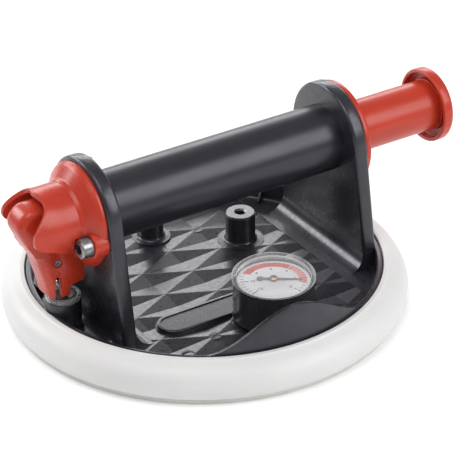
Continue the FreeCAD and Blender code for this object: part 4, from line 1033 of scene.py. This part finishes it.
def add_camera(scene):
    az, el = math.radians(CAMERA_AZIMUTH), math.radians(CAMERA_ELEVATION)
    back = Vector((math.sin(az) * math.cos(el), -math.cos(az) * math.cos(el), math.sin(el)))
    right = (-back).cross(Vector((0, 0, 1))).normalized()
    up = right.cross(-back)
    roll = math.radians(CAMERA_ROLL)
    across = right * math.cos(roll) + up * math.sin(roll)
    upward = up * math.cos(roll) - right * math.sin(roll)
    data = bpy.data.cameras.new("studio_camera")
    data.sensor_width = CAMERA_SENSOR
    data.lens = CAMERA_LENS
    data.shift_x, data.shift_y = CAMERA_SHIFT
    data.clip_start, data.clip_end = 0.05, 50.0
    camera = bpy.data.objects.new("studio_camera", data)
    place = Vector(CAMERA_TARGET) * MM + back * CAMERA_DISTANCE * MM
    camera.matrix_world = Matrix((
        (across.x, upward.x, back.x, place.x), (across.y, upward.y, back.y, place.y),
        (across.z, upward.z, back.z, place.z), (0, 0, 0, 1)))
    scene.collection.objects.link(camera)
    scene.camera = camera


def softbox(name, direction, distance, size, watts):
    """Rectangular area light that looks at the cup's middle."""
    idle()
    bpy.ops.object.light_add(type="AREA")
    light = bpy.context.object
    light.name = name
    light.data.shape = "RECTANGLE"
    light.data.size, light.data.size_y = size
    light.data.energy = watts
    way = Vector(direction).normalized()
    light.location = Vector((0, 0, 0.05)) + way * distance
    light.rotation_mode = "QUATERNION"
    light.rotation_quaternion = way.to_track_quat("Z", "Y")


class CUP_OT_stage(bpy.types.Operator):
    """Set up the pale floor, the soft lights and the camera"""
    bl_idname = "cup.stage"
    bl_label = "Stage"

    def execute(self, context):
        scene = context.scene
        studio = scene.cup_studio
        idle()
        bpy.ops.mesh.primitive_plane_add(size=12.0, location=(0, 0, -0.0003))
        ground = bpy.context.object
        ground.name = "stage_floor"
        bpy.ops.object.transform_apply()
        paper = Finish("stage_paper", (0.9, 0.9, 0.9), 0.7, Specular_IOR_Level=0.2,
                       Emission_Color=(1.0, 1.0, 1.0, 1.0), Emission_Strength=0.15)
        ground.data.materials.append(paper.material)
        scene.view_settings.view_transform = "Standard"
        world = bpy.data.worlds.new("studio_room")
        scene.world = world
        world.use_nodes = True
        world.node_tree.nodes["Background"].inputs["Color"].default_value = (1.0, 1.0, 1.0, 1.0)
        world.node_tree.nodes["Background"].inputs["Strength"].default_value = studio.world
        softbox("key_softbox", (0.46, -0.68, 0.55), 1.0, (0.55, 0.65), studio.key)
        softbox("back_softbox", (0.30, 0.88, 0.36), 1.2, (1.9, 0.42), studio.back)
        softbox("side_softbox", (-0.50, 0.73, 0.46), 1.15, (0.42, 0.42), studio.side)
        softbox("top_softbox", (-0.32, -0.22, 0.92), 1.1, (0.7, 0.7), studio.top)
        add_camera(scene)
        return {"FINISHED"}


# ---- add-on ----
OPERATORS = (CUP_OT_finishes, CUP_OT_base, CUP_OT_seal, CUP_OT_cover, CUP_OT_lever, CUP_OT_plunger, CUP_OT_screws,
             CUP_OT_gauge, CUP_OT_valve, CUP_OT_nodes, CUP_OT_stage)


class CUP_PT_panel(bpy.types.Panel):
    """Sidebar panel of the suction cup"""
    bl_idname = "CUP_PT_panel"
    bl_label = "Suction cup"
    bl_space_type = "VIEW_3D"
    bl_region_type = "UI"
    bl_category = "Suction cup"

    def draw(self, context):
        for group in (context.scene.cup_sizes, context.scene.cup_colours, context.scene.cup_studio):
            for name in group.__annotations__:
                self.layout.prop(group, name)
        for operator in OPERATORS:
            self.layout.operator(operator.bl_idname)


CLASSES = (CupSizes, CupColours, StudioSettings) + OPERATORS + (CUP_PT_panel,)


def register():
    for cls in CLASSES:
        bpy.utils.register_class(cls)
    bpy.types.Scene.cup_sizes = bpy.props.PointerProperty(type=CupSizes)
    bpy.types.Scene.cup_colours = bpy.props.PointerProperty(type=CupColours)
    bpy.types.Scene.cup_studio = bpy.props.PointerProperty(type=StudioSettings)


def unregister():
    del bpy.types.Scene.cup_studio
    del bpy.types.Scene.cup_colours
    del bpy.types.Scene.cup_sizes
    for cls in reversed(CLASSES):
        bpy.utils.unregister_class(cls)


def main():
    register()
    for operator in OPERATORS:
        family, name = operator.bl_idname.split(".")
        getattr(getattr(bpy.ops, family), name)()


if __name__ == "__main__":
    main()
